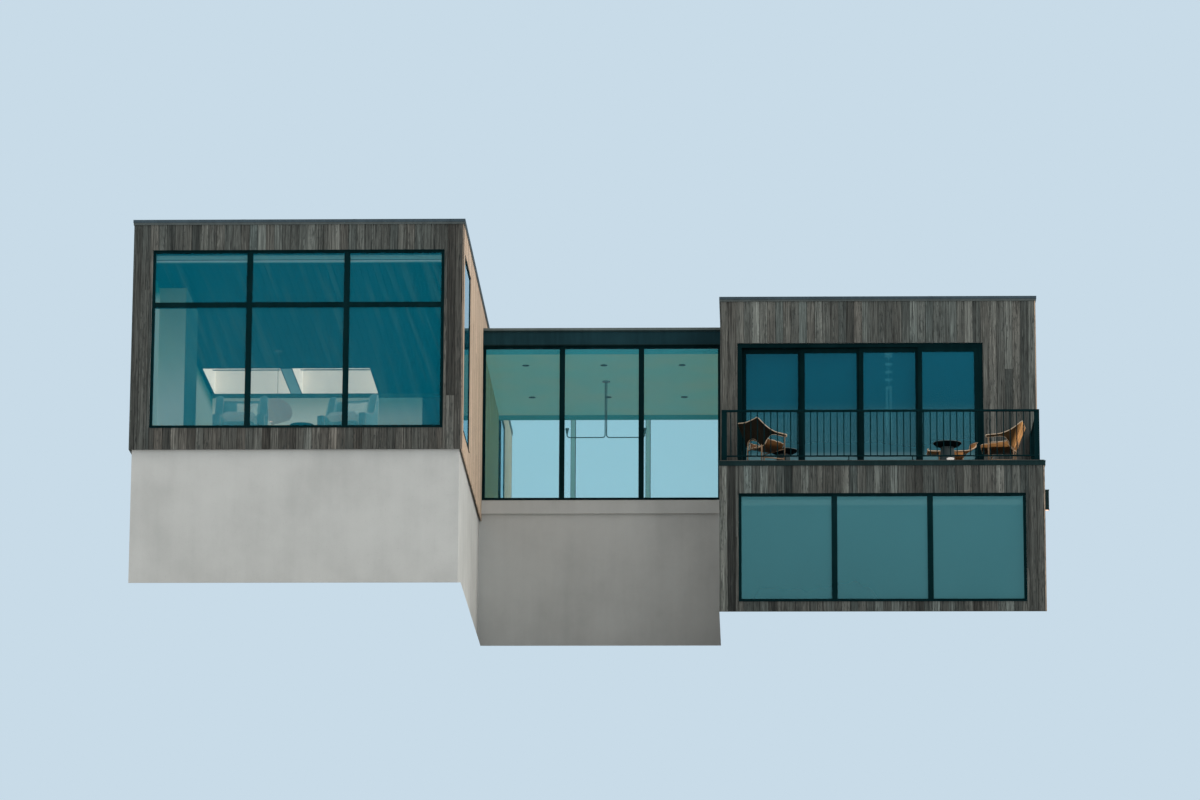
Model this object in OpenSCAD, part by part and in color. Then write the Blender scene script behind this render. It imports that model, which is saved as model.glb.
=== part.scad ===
// Beach house: two flat-roofed timber-clad wings joined by a lower glazed link.
// X runs along the sea front, Y runs inland and Z is up. The origin is the middle of the base.

/* [Plan] */
// Width of each wing
wing_w = 6800; // [5800:50:8000]
// Width of the glazed link between the wings
link_w = 5200; // [4000:50:6500]
// Length of the left wing from front to back
left_d = 20000; // [19000:50:24000]
// Distance from the left wing's front to the link's front glass
link_setback = 7250; // [5000:50:8000]
// Distance between the link's two glass walls, outside to outside
link_d = 6600; // [5600:50:7000]
// Distance from the left wing's front to the lower front of the right wing
right_setback = 3300; // [2000:50:4000]
// Length of the right wing from its lower front to its back
right_d = 14700; // [14200:50:17000]
// Depth of the balcony over the lower front room
balcony_d = 2500; // [1500:50:3000]

/* [Levels] */
// Height of the main floor above the lowest ground
floor_z = 3200; // [2900:10:3800]
// Height of the left wing's roof edge above the main floor
left_top = 4380; // [4200:10:5000]
// Height of the right wing's roof edge above the main floor
right_top = 4170; // [3900:10:4800]
// Height of the link's roof edge above the main floor
link_top = 3850; // [3650:10:4100]
// Height of the ceilings in the left wing above the main floor
left_ceiling = 3600; // [3350:10:3700]
// Height of the ceiling in the upper right room above the main floor
right_ceiling = 3400; // [3250:10:3550]
// Height of the ceiling in the link above the main floor
link_ceiling = 3360; // [3100:10:3400]
// Thickness of the roof slabs
roof_t = 400; // [250:10:450]
// Thickness of the floor slabs
slab_t = 300; // [200:10:400]
// Height of the concrete floor of the lower storey
ground_slab_t = 200; // [100:10:250]

/* [Walls] */
// Thickness of the outer walls without their boards
wall_t = 220; // [180:5:300]
// Depth of the space for the boards on the outer face
board_t = 25; // [10:1:40]
// Thickness of the inner cross walls
inner_wall_t = 150; // [100:5:200]
// Distance from the left wing's front to the back wall of its front room
room_d = 12850; // [12750:50:13400]
// Distance from the left wing's front to the short return wall
return_y = 2550; // [2500:10:3000]
// Width of the short return wall
return_w = 560; // [300:10:700]
// Length of the wall that runs back from the return wall
return_d = 2150; // [1500:50:2500]
// How far the foundation walls stand back behind the boards
foundation_inset = 60; // [30:5:100]

/* [Roof edge] */
// Height of the metal roof edge trim
coping_h = 100; // [60:5:140]
// How far the roof edge trim stands proud of the boards
coping_over = 12; // [5:1:25]
// Height of the dark band under the link's roof edge
fascia_h = 305; // [200:5:400]
// Depth of the blind recess in front of the link's ceiling
recess_d = 250; // [100:10:400]
// Height of the link's own roof edge trim
link_coping_h = 85; // [50:5:120]

/* [Windows] */
// Margin between a wing's side and its big front window
front_margin = 400; // [300:10:600]
// Height of the left wing's windows above the main floor
window_h = 3740; // [3500:10:3900]
// Height of the middle of the transom above the main floor
transom_z = 2590; // [2200:10:2900]
// Width of the outer bars of a window frame
bar_w = 55; // [40:1:100]
// Width of the uprights between two panes
mullion_w = 104; // [70:2:140]
// Height of the cross bar
transom_h = 96; // [70:2:140]
// Depth of the window frames from front to back
frame_d = 120; // [80:5:160]
// How far the frames stand back from the face of the boards
reveal = 35; // [20:5:80]
// How far the left wing's side frames stand back from the face of the boards
side_reveal = 5; // [2:1:60]
// Distance from the outer face of a frame to its glass
glass_back = 15; // [8:1:40]
// Thickness of the sealed glass units
glass_t = 28; // [20:1:40]
// Width of the tall side windows
side_window_w = 2000; // [1200:10:2400]
// Distance from the front to the first tall side window
side_window_y = 450; // [400:10:500]
// Distance from the left wing's front to the rear side windows
rear_window_y = 14700; // [14500:50:15200]
// Height of the lower storey's windows
lower_window_h = 2300; // [2000:10:2300]
// Distance from the main floor down to the head of the lower front window
lower_head_drop = 690; // [600:10:800]
// Number of panes in each big window
pane_count = 3; // [2:1:4]

/* [Balcony] */
// Margin between the right wing's left side and the balcony doors
door_margin = 370; // [300:10:600]
// Overall width of the four balcony doors
doors_w = 5280; // [4400:10:5400]
// Height of the balcony doors
door_h = 3150; // [2400:10:3200]
// Number of sliding door leaves
leaf_count = 4; // [2:1:5]
// Width of the stiles of a sliding door leaf
stile_w = 90; // [60:5:120]
// How far two closed leaves overlap
leaf_overlap = 35; // [20:5:60]
// Height of the rails of a sliding door leaf
leaf_rail_h = 100; // [60:5:140]
// Thickness of a sliding door leaf
leaf_t = 45; // [35:1:55]
// Running gap between two door tracks
track_gap = 4; // [2:1:8]
// Running gap beside and over the door leaves
leaf_gap = 3; // [1:0.5:6]
// Clearance between a door leaf and its sill
leaf_seat = 0.3; // [0.2:0.1:0.8]
// Width of the outer frame of the balcony doors
door_frame_w = 95; // [60:5:110]
// Height of the metal edge of the balcony floor
edge_h = 100; // [80:5:160]
// How far the metal edge stands proud of the boards
edge_out = 15; // [8:1:25]
// Height of the railing above the balcony floor
rail_h = 1110; // [900:10:1200]
// Width of the handrail
rail_w = 60; // [40:5:80]
// Height of the handrail
rail_t = 40; // [20:5:60]
// Height of the bottom rail
low_rail_t = 25; // [20:1:50]
// Gap between the balcony floor and the bottom rail
low_rail_gap = 108; // [30:2:120]
// Distance between two balusters, middle to middle
baluster_pitch = 140; // [110:5:160]
// Width of a baluster
baluster_w = 20; // [12:1:30]
// Depth of a baluster
baluster_d = 40; // [25:1:50]
// Width of the flat posts at the ends of the railing
post_w = 110; // [60:5:140]
// Number of equal bays between the feet of the front railing
bay_count = 5; // [3:1:7]
// Distance from the wing's left side to the railing's left end
rail_inset_left = 50; // [40:5:120]
// Distance from the wing's right side to the railing's right end
rail_inset = 95; // [40:5:120]

/* [Rooflights] */
// Width of a rooflight opening
rooflight_w = 1750; // [1200:10:1800]
// Length of a rooflight opening from front to back
rooflight_d = 2500; // [2000:50:2600]
// Distance from the left wing's front to the rooflights
rooflight_y = 9900; // [9500:50:10100]
// Distance from the inside of the outer wall to the first rooflight
rooflight_gap = 95; // [80:5:200]
// Distance between two rooflights, middle to middle
rooflight_pitch = 2015; // [1980:5:2300]
// Height of a rooflight's upstand above the roof
kerb_h = 200; // [100:10:300]
// Thickness of a rooflight's upstand
kerb_t = 60; // [40:5:80]

/* [Lamps] */
// Width of the ball lamp in the left wing
ball_w = 680; // [400:10:900]
// Height of the ball lamp
ball_h = 540; // [400:10:700]
// Drop of the ball lamp's lower side below the ceiling
ball_drop = 1650; // [1000:10:1700]
// Distance from the left wing's front to the ball lamp
ball_y = 8200; // [6000:50:9000]
// Distance from the left wing's side to the ball lamp
ball_x = 2210; // [1500:10:3000]
// Width of the ball lamp's open lower end
ball_open_d = 200; // [150:10:300]
// Tilt of the ball lamp
ball_tilt = 20; // [0:1:30]
// Diameter of the bulb that shows under the ball lamp
bulb_d = 120; // [80:5:160]
// Length of each arm of the link's lamp
arm_l = 870; // [500:10:1000]
// Drop of the arms below the link's ceiling
arm_drop = 1300; // [900:10:1600]
// Distance from the link's front to its lamp
branch_y = 3000; // [2000:50:4000]
// Diameter of the tubes of the link's lamp
tube_d = 24; // [16:1:30]
// Radius of the bends in these tubes
bend_r = 60; // [40:5:100]
// Gap between the two upright tubes
tube_gap = 10; // [6:1:30]
// Diameter of the cups at the ends of the arms
cup_d = 90; // [60:5:120]
// Height of these cups
cup_h = 150; // [100:10:240]
// Diameter of a lamp's ceiling plate
plate_d = 180; // [100:10:220]
// Height of a lamp's ceiling plate
plate_h = 30; // [20:5:50]
// Diameter of a lamp's hanging wire
wire_d = 10; // [6:1:16]
// Diameter of a ceiling spotlight ring
spot_d = 150; // [80:5:180]
// Height of a ceiling spotlight ring
spot_h = 8; // [5:1:15]
// Distance from the link's front to the first row of spotlights
spot_y = 1430; // [800:10:1700]
// Distance between the two rows of spotlights
spot_pitch = 3140; // [2000:10:3400]
// Number of discs on the layered lamp
disc_count = 5; // [3:1:6]
// Diameter of these discs
disc_d = 170; // [120:10:300]
// Thickness of these discs
disc_h = 24; // [15:1:40]
// Distance between two discs
disc_pitch = 176; // [120:2:200]
// Drop of the first disc below the ceiling
disc_drop = 80; // [60:5:150]
// Length of the longest glass rod under the discs
rod_l = 1200; // [600:20:1400]
// Diameter of these rods
rod_d = 18; // [12:1:30]
// Number of these rods
rod_count = 6; // [3:1:8]
// Distance from the right wing's left side to the layered lamp
disc_x = 3675; // [2500:5:4500]
// Distance from the balcony doors to the layered lamp
disc_y = 2000; // [1500:50:5000]
// Distance from the main floor down to the top of the wall lamp
lamp_drop = 560; // [500:10:900]
// Distance from the lower front to the wall lamp
lamp_y = 300; // [200:10:600]
// Width of the wall lamp
lamp_w = 100; // [80:5:140]
// Height of the wall lamp
lamp_h = 430; // [300:10:500]
// How far the wall lamp stands out from the boards
lamp_out = 95; // [60:5:140]

/* [Blind] */
// Height of the roller blind's housing
blind_h = 130; // [80:5:160]
// Gap between the window's head and this housing
blind_gap = 80; // [40:5:120]

/* [Chairs and tables] */
// Height of a balcony chair's seat
seat_h = 440; // [400:10:480]
// Height of the two upper corners of its shell
back_h = 1000; // [900:10:1100]
// Length of the shell from the tips of its arms to its back
shell_l = 820; // [760:10:860]
// Width of the shell
shell_w = 780; // [740:10:820]
// Thickness of the shell
shell_t = 18; // [12:1:25]
// Thickness of a seat's curved board
seat_t = 30; // [20:1:40]
// Half of a balcony chair's seat width, inside its wings
seat_half_w = 290; // [260:5:300]
// Height of the wings at the sides of the seat
seat_wing_h = 180; // [120:10:240]
// Radius of the seat's outline in plan
seat_r = 370; // [360:5:380]
// How far the middle of this outline lies in front of the chair's middle
seat_shift = 170; // [160:5:180]
// Thickness of the chairs' legs
leg_d = 32; // [28:1:45]
// Thickness of the bars between a balcony chair's legs
cross_bar_d = 24; // [16:1:26]
// Distance from a balcony chair's middle back to its rear legs
rear_leg_x = 175; // [165:1:180]
// Distance from its middle to a rear leg at the side
rear_leg_y = 245; // [240:1:250]
// Distance from its middle forward to its front legs
front_leg_x = 340; // [320:5:360]
// Length of the footstool
stool_l = 1080; // [800:20:1200]
// Width of the footstool
stool_w = 405; // [300:5:500]
// Height of the footstool's upturned end above its seat
stool_rise = 240; // [100:10:260]
// Height of the side boards under the footstool's seat
stool_side_h = 120; // [60:5:160]
// Diameter of a balcony table
table_d = 610; // [450:10:700]
// Height of a balcony table
table_h = 600; // [450:10:650]
// Thickness of a balcony table's top
table_t = 26; // [16:1:40]
// Diameter of a table's pedestal at the floor
pedestal_low_d = 270; // [200:10:400]
// Diameter of the pedestal under the table's top
pedestal_top_d = 190; // [120:10:260]
// Height of the bases of the wing chairs in the left wing's front room
sofa_seat_h = 420; // [360:10:460]
// Height of their backs
sofa_back_h = 1030; // [850:10:1100]
// Height of their arms at the front
sofa_arm_h = 540; // [480:10:600]
// Thickness of their seat cushions
seat_pad_h = 200; // [120:5:220]
// Width of their pillows
pillow_w = 500; // [400:10:520]
// Height of their pillows
pillow_h = 300; // [250:10:360]
// Thickness of their pillows
pillow_t = 150; // [100:5:180]
// Depth of these seats from front to back
sofa_d = 830; // [700:10:900]
// Thickness of their arms and backs
sofa_t = 160; // [100:10:200]
// Height of their feet
foot_h = 140; // [80:10:160]
// Clearance between a loose cushion and its seat
cushion_gap = 0.3; // [0.2:0.1:0.8]
// Width of a wing chair
wing_chair_w = 1080; // [1000:10:1200]
// Turn of the right wing chair
wing_chair_turn = -18; // [-30:1:0]
// Diameter of the low table between them
low_table_d = 490; // [400:10:560]
// Height of this table
low_table_h = 360; // [300:10:450]

/* [Places of the furniture] */
// Distance from the right wing's left side to the left balcony chair
left_chair_x = 880; // [800:10:950]
// Turn of the left balcony chair
left_chair_turn = -143; // [-155:1:-130]
// Distance from the right wing's left side to the right balcony chair
right_chair_x = 6025; // [5950:5:6080]
// Turn of the right balcony chair
right_chair_turn = -1; // [-5:1:10]
// Distance from the lower front to the balcony chairs
chairs_y = 1100; // [1000:10:1200]
// Distance from the lower front to the left balcony chair
left_chair_y = 780; // [700:10:850]
// Distance from the right wing's left side to the footstool
stool_x = 4930; // [4700:10:4960]
// Distance from the lower front to the footstool
stool_y = 1700; // [1650:10:1850]
// Distance from the right wing's left side to the left table
left_table_x = 1350; // [1280:10:1400]
// Distance from the lower front to the left table
left_table_y = 1680; // [1650:10:1850]
// Distance from the right wing's left side to the right table
right_table_x = 4810; // [4500:10:4830]
// Distance from the lower front to the right table
right_table_y = 1000; // [800:10:1050]
// Distance from the outer wall to the middle of the left wing chair
sofa_a_x = 1865; // [1750:5:1950]
// Distance from the outer wall to the middle of the right wing chair
sofa_b_x = 4110; // [4000:5:4250]
// Distance from the front wall to the middle of the wing chairs
sofa_y = 1290; // [1100:10:1500]
// Shift of a pillow from the middle of its seat
pillow_shift = 120; // [0:10:120]
// Distance from the outer wall to the low table
low_table_x = 3160; // [3100:10:3200]
// Distance from the front wall to the low table
low_table_y = 1100; // [900:10:1300]

/* [Hidden] */
$fn = 32;
shell_fn = 96;

// Bands of the plan
right_x0 = wing_w + link_w;
right_x1 = right_x0 + wing_w;
link_y1 = link_setback + link_d;
upper_y = right_setback + balcony_d;
right_y1 = right_setback + right_d;

// Middle of the whole outline
low_x = -coping_over;
high_x = right_x1 + lamp_out;
low_y = -coping_over;
high_y = left_d + coping_over;
mid_x = (low_x + high_x) / 2;
mid_y = (low_y + high_y) / 2;

// Levels above the base
left_top_z = floor_z + left_top;
right_top_z = floor_z + right_top;
link_top_z = floor_z + link_top;
left_ceiling_z = floor_z + left_ceiling;
right_ceiling_z = floor_z + right_ceiling;
link_ceiling_z = floor_z + link_ceiling;
lower_head_z = floor_z - lower_head_drop;
slab_z = floor_z - slab_t;

// Faces of the walls
face = board_t;
inside = board_t + wall_t;
big_window_w = wing_w - 2 * front_margin;
link_front_in = link_setback + reveal + frame_d;
doors_in_w = doors_w - 2 * door_frame_w;
doors_in_h = door_h - 2 * door_frame_w;
leaf_w = (doors_in_w - 2 * leaf_gap + (leaf_count - 1) * leaf_overlap) / leaf_count;
leaf_h = doors_in_h - leaf_seat - leaf_gap;
track_d = leaf_t + track_gap;
door_frame_d = leaf_count * track_d + track_gap;

timber = "#5b5a55";
dark_metal = "#2a302e";
white = "#e8e8e4";
concrete = "#b9b7b0";
glass = "#8fb3b3";
roofing = "#8d8f8e";
leather = "#6b4630";
fabric = "#dcdcd6";

// Half of the ball lamp's outline, from its open lower end to its highest point
ball_steps = 12;
ball_outline = concat([[0, -ball_h / 2], [ball_open_d / 2, -ball_h / 2]], [
    for (i = [0 : ball_steps])
        let (turn = -20 + 110 * i / ball_steps)
        [ball_w / 2 * cos(turn), ball_h / 2 * sin(turn)]
]);

// Upper rim of one half of a balcony chair's shell, from the tip of its arm to the middle of its back:
// shares of half the length, half the width, and the rise from the seat to the upper corners
shell_rim = [
    [-0.95, 0.97, 0.51], [-0.55, 1, 0.52], [-0.2, 1, 0.545], [0.15, 1, 0.625], [0.425, 0.99, 0.73],
    [0.675, 0.97, 0.86], [0.86, 0.94, 0.97], [0.94, 0.88, 1], [0.97, 0.75, 0.97], [0.99, 0.5, 0.94],
    [1, 0.25, 0.92], [1, 0, 0.91]
];

// Lower edge of the same half, point for point
shell_edge = [
    [-0.95, 0.96, 0.42], [-0.55, 0.97, 0.43], [-0.2, 0.97, 0.445], [0.05, 0.925, 0.4], [0.21, 0.85, 0.26],
    [0.31, 0.775, 0.11], [0.375, 0.7, 0.01], [0.44, 0.625, 0], [0.5, 0.55, 0.04], [0.59, 0.4, 0.21],
    [0.625, 0.2, 0.285], [0.64, 0, 0.305]
];

// Direction that the shell faces at each of these points, in degrees from the middle of its back
shell_facing = [90, 90, 90, 88, 85, 75, 60, 45, 25, 10, 5, 0];

// Height of the wings at the seat's front, as a share of their height at the rear
wing_front = 0.6;

// Half of the section of its seat: shares of the half width, and of the wing's height
wing_curve = [[0, 0], [0.5, 0.03], [0.75, 0.12], [0.92, 0.4], [1, 1]];

// Place of the front railing
rail_y = right_setback + rail_inset / 2 + rail_w / 2;
rail_x0 = right_x0 + rail_inset_left;
rail_x1 = right_x1 - rail_inset;

// Tops of the walls, under the roof edge trim
left_seat_z = left_top_z - coping_h / 2;
right_seat_z = right_top_z - coping_h / 2;
link_roof_z = link_top_z - link_coping_h;
link_head_z = link_roof_z - fascia_h;
left_roof_z = left_ceiling_z + roof_t;
right_roof_z = right_ceiling_z + roof_t;
lower_sill_z = lower_head_z - lower_window_h;

// A block between two corners
module block(a, b) {
    translate(a) cube([b[0] - a[0], b[1] - a[1], b[2] - a[2]]);
}

// Shift from the plan's corner to the middle of the outline
module place() {
    translate([-mid_x, -mid_y, 0]) children();
}

// A closed ring of four walls seen in plan
module ring(x0, y0, x1, y1, t, z0, z1) {
    difference() {
        block([x0, y0, z0], [x1, y1, z1]);
        block([x0 + t, y0 + t, z0 - 1], [x1 - t, y1 - t, z1 + 1]);
    }
}

// The metal trim that caps a wall's top edge all round
module coping(x0, y0, x1, y1, top_z, h) {
    out = coping_over;
    t = wall_t + board_t + 2 * coping_over;
    difference() {
        block([x0 - out, y0 - out, top_z - h], [x1 + out, y1 + out, top_z]);
        block([x0 - out + t, y0 - out + t, top_z - h - 1], [x1 + out - t, y1 + out - t, top_z + 1]);
        block([x0 + face, y0 + face, top_z - h - 1], [x1 - face, y1 - face, top_z - h / 2]);
    }
}

// A frame in the XZ plane with equal panes, standing on y = 0 and running back
module window_frame(w, h, panes, with_transom, edge = bar_w) {
    pane_w = (w - 2 * edge - (panes - 1) * mullion_w) / panes;
    difference() {
        cube([w, frame_d, h]);
        for (i = [0 : panes - 1]) {
            x = edge + i * (pane_w + mullion_w);
            if (with_transom) {
                low_h = transom_z - transom_h / 2 - edge;
                translate([x, -1, edge]) cube([pane_w, frame_d + 2, low_h]);
                translate([x, -1, transom_z + transom_h / 2])
                    cube([pane_w, frame_d + 2, h - edge - transom_z - transom_h / 2]);
            } else {
                translate([x, -1, edge]) cube([pane_w, frame_d + 2, h - 2 * edge]);
            }
        }
    }
}

// The panes of such a frame, seated between its bars
module window_panes(w, h, panes, with_transom, edge = bar_w) {
    pane_w = (w - 2 * edge - (panes - 1) * mullion_w) / panes;
    for (i = [0 : panes - 1]) {
        x = edge + i * (pane_w + mullion_w);
        if (with_transom) {
            low_h = transom_z - transom_h / 2 - edge;
            translate([x, glass_back, edge]) cube([pane_w, glass_t, low_h]);
            translate([x, glass_back, transom_z + transom_h / 2])
                cube([pane_w, glass_t, h - edge - transom_z - transom_h / 2]);
        } else {
            translate([x, glass_back, edge]) cube([pane_w, glass_t, h - 2 * edge]);
        }
    }
}

// Turns a front window to look towards the back at y
module at_back(x, y, w) {
    translate([x + w, y, 0]) rotate([0, 0, 180]) children();
}

// Turns a front window into a wall that looks left at x
module on_left(x, y, w) {
    translate([x, y + w, 0]) rotate([0, 0, -90]) children();
}

// Turns a front window into a wall that looks right at x
module on_right(x, y) {
    translate([x, y, 0]) rotate([0, 0, 90]) children();
}

// A wall with openings, each given as its distance along X, its width, its lowest and highest point
module wall_along_x(a, b, openings) {
    difference() {
        block(a, b);
        for (o = openings)
            block([o[0], a[1] - 1, o[2]], [o[0] + o[1], b[1] + 1, o[3]]);
    }
}

// The same for a wall that runs along Y
module wall_along_y(a, b, openings) {
    difference() {
        block(a, b);
        for (o = openings)
            block([a[0] - 1, o[0], o[2]], [b[0] + 1, o[0] + o[1], o[3]]);
    }
}

// Concrete walls under the left wing, down to the lowest ground
module left_foundation() {
    i = foundation_inset;
    color(concrete) place() ring(i, i, wing_w - i, left_d - i, wall_t, 0, slab_z);
}

// Floor slab of the left wing
module left_floor() {
    color(concrete) place() block([face, face, slab_z], [wing_w - face, left_d - face, floor_z]);
}

// Front wall of the left wing, round its big window
module left_front_wall() {
    color(timber) place()
        wall_along_x([face, face, floor_z], [wing_w - face, inside, left_seat_z],
            [[front_margin, big_window_w, floor_z - 1, floor_z + window_h]]);
}

// Back wall of the left wing, round its big window
module left_back_wall() {
    color(timber) place()
        wall_along_x([face, left_d - inside, floor_z], [wing_w - face, left_d - face, left_seat_z],
            [[front_margin, big_window_w, floor_z - 1, floor_z + window_h]]);
}

// Where the tall side windows stand along the left wing
function left_side_openings() = [
    for (y = [side_window_y, rear_window_y]) [y, side_window_w, floor_z - 1, floor_z + window_h]
];

// Side wall of the left wing that faces away from the link
module left_outer_wall() {
    color(timber) place()
        wall_along_y([face, inside, floor_z], [inside, left_d - inside, left_seat_z],
            left_side_openings());
}

// Side wall of the left wing that faces the link
module left_inner_wall() {
    color(timber) place()
        wall_along_y([wing_w - inside, inside, floor_z], [wing_w - face, left_d - inside, left_seat_z],
            left_side_openings());
}

// Left edge of a rooflight opening
function rooflight_x0(i) = inside + rooflight_gap + i * rooflight_pitch;

// Roof slab of the left wing with its two rooflight openings
module left_roof() {
    color(roofing) place() difference() {
        block([inside, inside, left_ceiling_z], [wing_w - inside, left_d - inside, left_roof_z]);
        for (i = [0, 1]) {
            x = rooflight_x0(i);
            block([x, rooflight_y, left_ceiling_z - 1],
                [x + rooflight_w, rooflight_y + rooflight_d, left_roof_z + 1]);
        }
    }
}

// Upstands round the rooflights
module rooflight_kerbs() {
    color(dark_metal) place()
        for (i = [0, 1]) {
            x = rooflight_x0(i);
            ring(x - kerb_t, rooflight_y - kerb_t, x + rooflight_w + kerb_t,
                rooflight_y + rooflight_d + kerb_t, kerb_t, left_roof_z, left_roof_z + kerb_h);
        }
}

// Glass on the rooflights' upstands
module rooflight_glass() {
    color(glass) place()
        for (i = [0, 1]) {
            x = rooflight_x0(i);
            block([x - kerb_t, rooflight_y - kerb_t, left_roof_z + kerb_h],
                [x + rooflight_w + kerb_t, rooflight_y + rooflight_d + kerb_t,
                    left_roof_z + kerb_h + glass_t]);
        }
}

// Roof edge trim of the left wing
module left_coping() {
    color(dark_metal) place() coping(0, 0, wing_w, left_d, left_top_z, coping_h);
}

// Back wall of the left wing's front room
module left_room_wall() {
    color(white) place()
        block([inside, room_d, floor_z], [wing_w - inside, room_d + inner_wall_t, left_ceiling_z]);
}

// Short return wall behind the front corner, and the wall that runs back from its end
module left_return_wall() {
    x1 = inside + return_w;
    color(white) place() union() {
        block([inside, return_y, floor_z], [x1, return_y + inner_wall_t, left_ceiling_z]);
        block([x1 - inner_wall_t, return_y, floor_z], [x1, return_y + return_d, left_ceiling_z]);
    }
}

// Frame of the left wing's front window
module left_front_window() {
    color(dark_metal) place() translate([front_margin, reveal, floor_z])
        window_frame(big_window_w, window_h, pane_count, true);
}

// Frame of the left wing's back window
module left_back_window() {
    color(dark_metal) place() at_back(front_margin, left_d - reveal, big_window_w)
        translate([0, 0, floor_z]) window_frame(big_window_w, window_h, pane_count, true);
}

// Frames of the tall windows in the left wing's sides
module left_side_windows() {
    color(dark_metal) place()
        for (y = [side_window_y, rear_window_y]) translate([0, 0, floor_z]) {
            on_left(side_reveal, y, side_window_w) window_frame(side_window_w, window_h, 1, false);
            on_right(wing_w - side_reveal, y) window_frame(side_window_w, window_h, 1, false);
        }
}

// Panes of all the left wing's windows
module left_glass() {
    color(glass) place() translate([0, 0, floor_z]) {
        translate([front_margin, reveal, 0])
            window_panes(big_window_w, window_h, pane_count, true);
        at_back(front_margin, left_d - reveal, big_window_w)
            window_panes(big_window_w, window_h, pane_count, true);
        for (y = [side_window_y, rear_window_y]) {
            on_left(side_reveal, y, side_window_w)
                window_panes(side_window_w, window_h, 1, false);
            on_right(wing_w - side_reveal, y)
                window_panes(side_window_w, window_h, 1, false);
        }
    }
}

// Housing of the roller blind behind the front window's head
module blind_box() {
    top_z = floor_z + window_h - blind_gap;
    color(white) place()
        block([front_margin, reveal + frame_d, top_z - blind_h], [wing_w - front_margin, inside, top_z]);
}

// A ceiling plate and the wire below it, from the ceiling down
module hanging(x, y, top_z, drop) {
    translate([x, y, top_z - plate_h]) cylinder(d = plate_d, h = plate_h);
    translate([x, y, top_z - drop]) cylinder(d = wire_d, h = drop);
}

// Round hanging lamp of the left wing's front room
module ball_lamp() {
    middle_z = left_ceiling_z - ball_drop + ball_h / 2;
    color(white) place() union() {
        hanging(ball_x, ball_y, left_ceiling_z, ball_drop - ball_h / 2);
        translate([ball_x, ball_y, middle_z]) rotate([0, ball_tilt, 0]) {
            rotate_extrude() polygon(ball_outline);
            translate([0, 0, -ball_h / 2]) sphere(d = bulb_d);
        }
    }
}

// Concrete walls under the link's two glass walls
module link_foundation() {
    i = foundation_inset;
    color(concrete) place()
        for (y = [link_setback + i, link_y1 - i - wall_t])
            block([wing_w - i, y, 0], [right_x0 + face, y + wall_t, slab_z]);
}

// Floor slab of the link
module link_floor() {
    color(concrete) place()
        block([wing_w - face, link_setback, slab_z], [right_x0 + face, link_y1, floor_z]);
}

// Roof of the link with its dark band and the lower ceiling behind it
module link_roof() {
    color(dark_metal) place() union() {
        block([wing_w - face, link_setback, link_head_z], [right_x0 + face, link_y1, link_roof_z]);
        block([wing_w - face, link_front_in + recess_d, link_ceiling_z],
            [right_x0 + face, link_y1, link_head_z + 1]);
    }
}

// Roof edge trim over the link's two glass walls
module link_coping() {
    d = wall_t / 2;
    color("#a9aca8") place() {
        block([wing_w, link_setback - coping_over, link_roof_z], [right_x0, link_setback + d, link_top_z]);
        block([wing_w, link_y1 - d, link_roof_z], [right_x0, link_y1 + coping_over, link_top_z]);
    }
}

// Frame of the link's front glass wall
module link_front_window() {
    color(dark_metal) place() translate([wing_w, link_setback + reveal, floor_z])
        window_frame(link_w, link_head_z - floor_z, pane_count, false);
}

// Frame of the link's back glass wall
module link_back_window() {
    color(dark_metal) place() at_back(wing_w, link_y1 - reveal, link_w)
        translate([0, 0, floor_z]) window_frame(link_w, link_ceiling, pane_count, false);
}

// Panes of both glass walls of the link
module link_glass() {
    color(glass) place() translate([0, 0, floor_z]) {
        translate([wing_w, link_setback + reveal, 0])
            window_panes(link_w, link_head_z - floor_z, pane_count, false);
        at_back(wing_w, link_y1 - reveal, link_w)
            window_panes(link_w, link_ceiling, pane_count, false);
    }
}

// A quarter bend of a tube in the XZ plane, from straight down to level
module bend() {
    translate([bend_r, 0, 0]) rotate([90, 180, 0])
        rotate_extrude(angle = 90) translate([bend_r, 0]) circle(d = tube_d);
}

// One tube of the link's lamp: down from the ceiling, out along X and up into its cup
module bent_tube() {
    x0 = (tube_d + tube_gap) / 2;
    translate([x0, 0, bend_r]) {
        cylinder(d = tube_d, h = arm_drop - bend_r);
        bend();
        translate([bend_r, 0, -bend_r]) rotate([0, 90, 0])
            cylinder(d = tube_d, h = arm_l - x0 - 2 * bend_r);
    }
    translate([arm_l, 0, bend_r]) {
        mirror([1, 0, 0]) bend();
        cylinder(d1 = tube_d, d2 = cup_d, h = cup_h);
    }
}

// Lamp in the middle of the link: two bent arms with an upright cup at each end
module branch_lamp() {
    x = wing_w + link_w / 2;
    y = link_setback + branch_y;
    color(dark_metal) place() union() {
        translate([x, y, link_ceiling_z - plate_h]) cylinder(d = plate_d, h = plate_h);
        translate([x, y, link_ceiling_z - arm_drop]) {
            bent_tube();
            mirror([1, 0, 0]) bent_tube();
        }
    }
}

// Two rows of spotlight rings under the link's ceiling
module ceiling_spots() {
    color(white) place()
        for (i = [0 : pane_count - 1], j = [0, 1])
            translate([wing_w + link_w * (i + 0.5) / pane_count,
                link_setback + spot_y + j * spot_pitch, link_ceiling_z - spot_h])
                difference() {
                    cylinder(d = spot_d, h = spot_h);
                    translate([0, 0, -1]) cylinder(d = spot_d / 2, h = spot_h);
                }
}

// Concrete floor of the right wing's lower storey
module right_ground_floor() {
    color(concrete) place()
        block([right_x0 + inside, right_setback + inside, 0],
            [right_x1 - inside, right_y1 - inside, ground_slab_t]);
}

// Lower front wall of the right wing, round its window
module right_lower_front_wall() {
    color(timber) place()
        wall_along_x([right_x0 + face, right_setback + face, 0],
            [right_x1 - face, right_setback + inside, slab_z],
            [[right_x0 + front_margin, big_window_w, lower_sill_z, lower_head_z]]);
}

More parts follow.
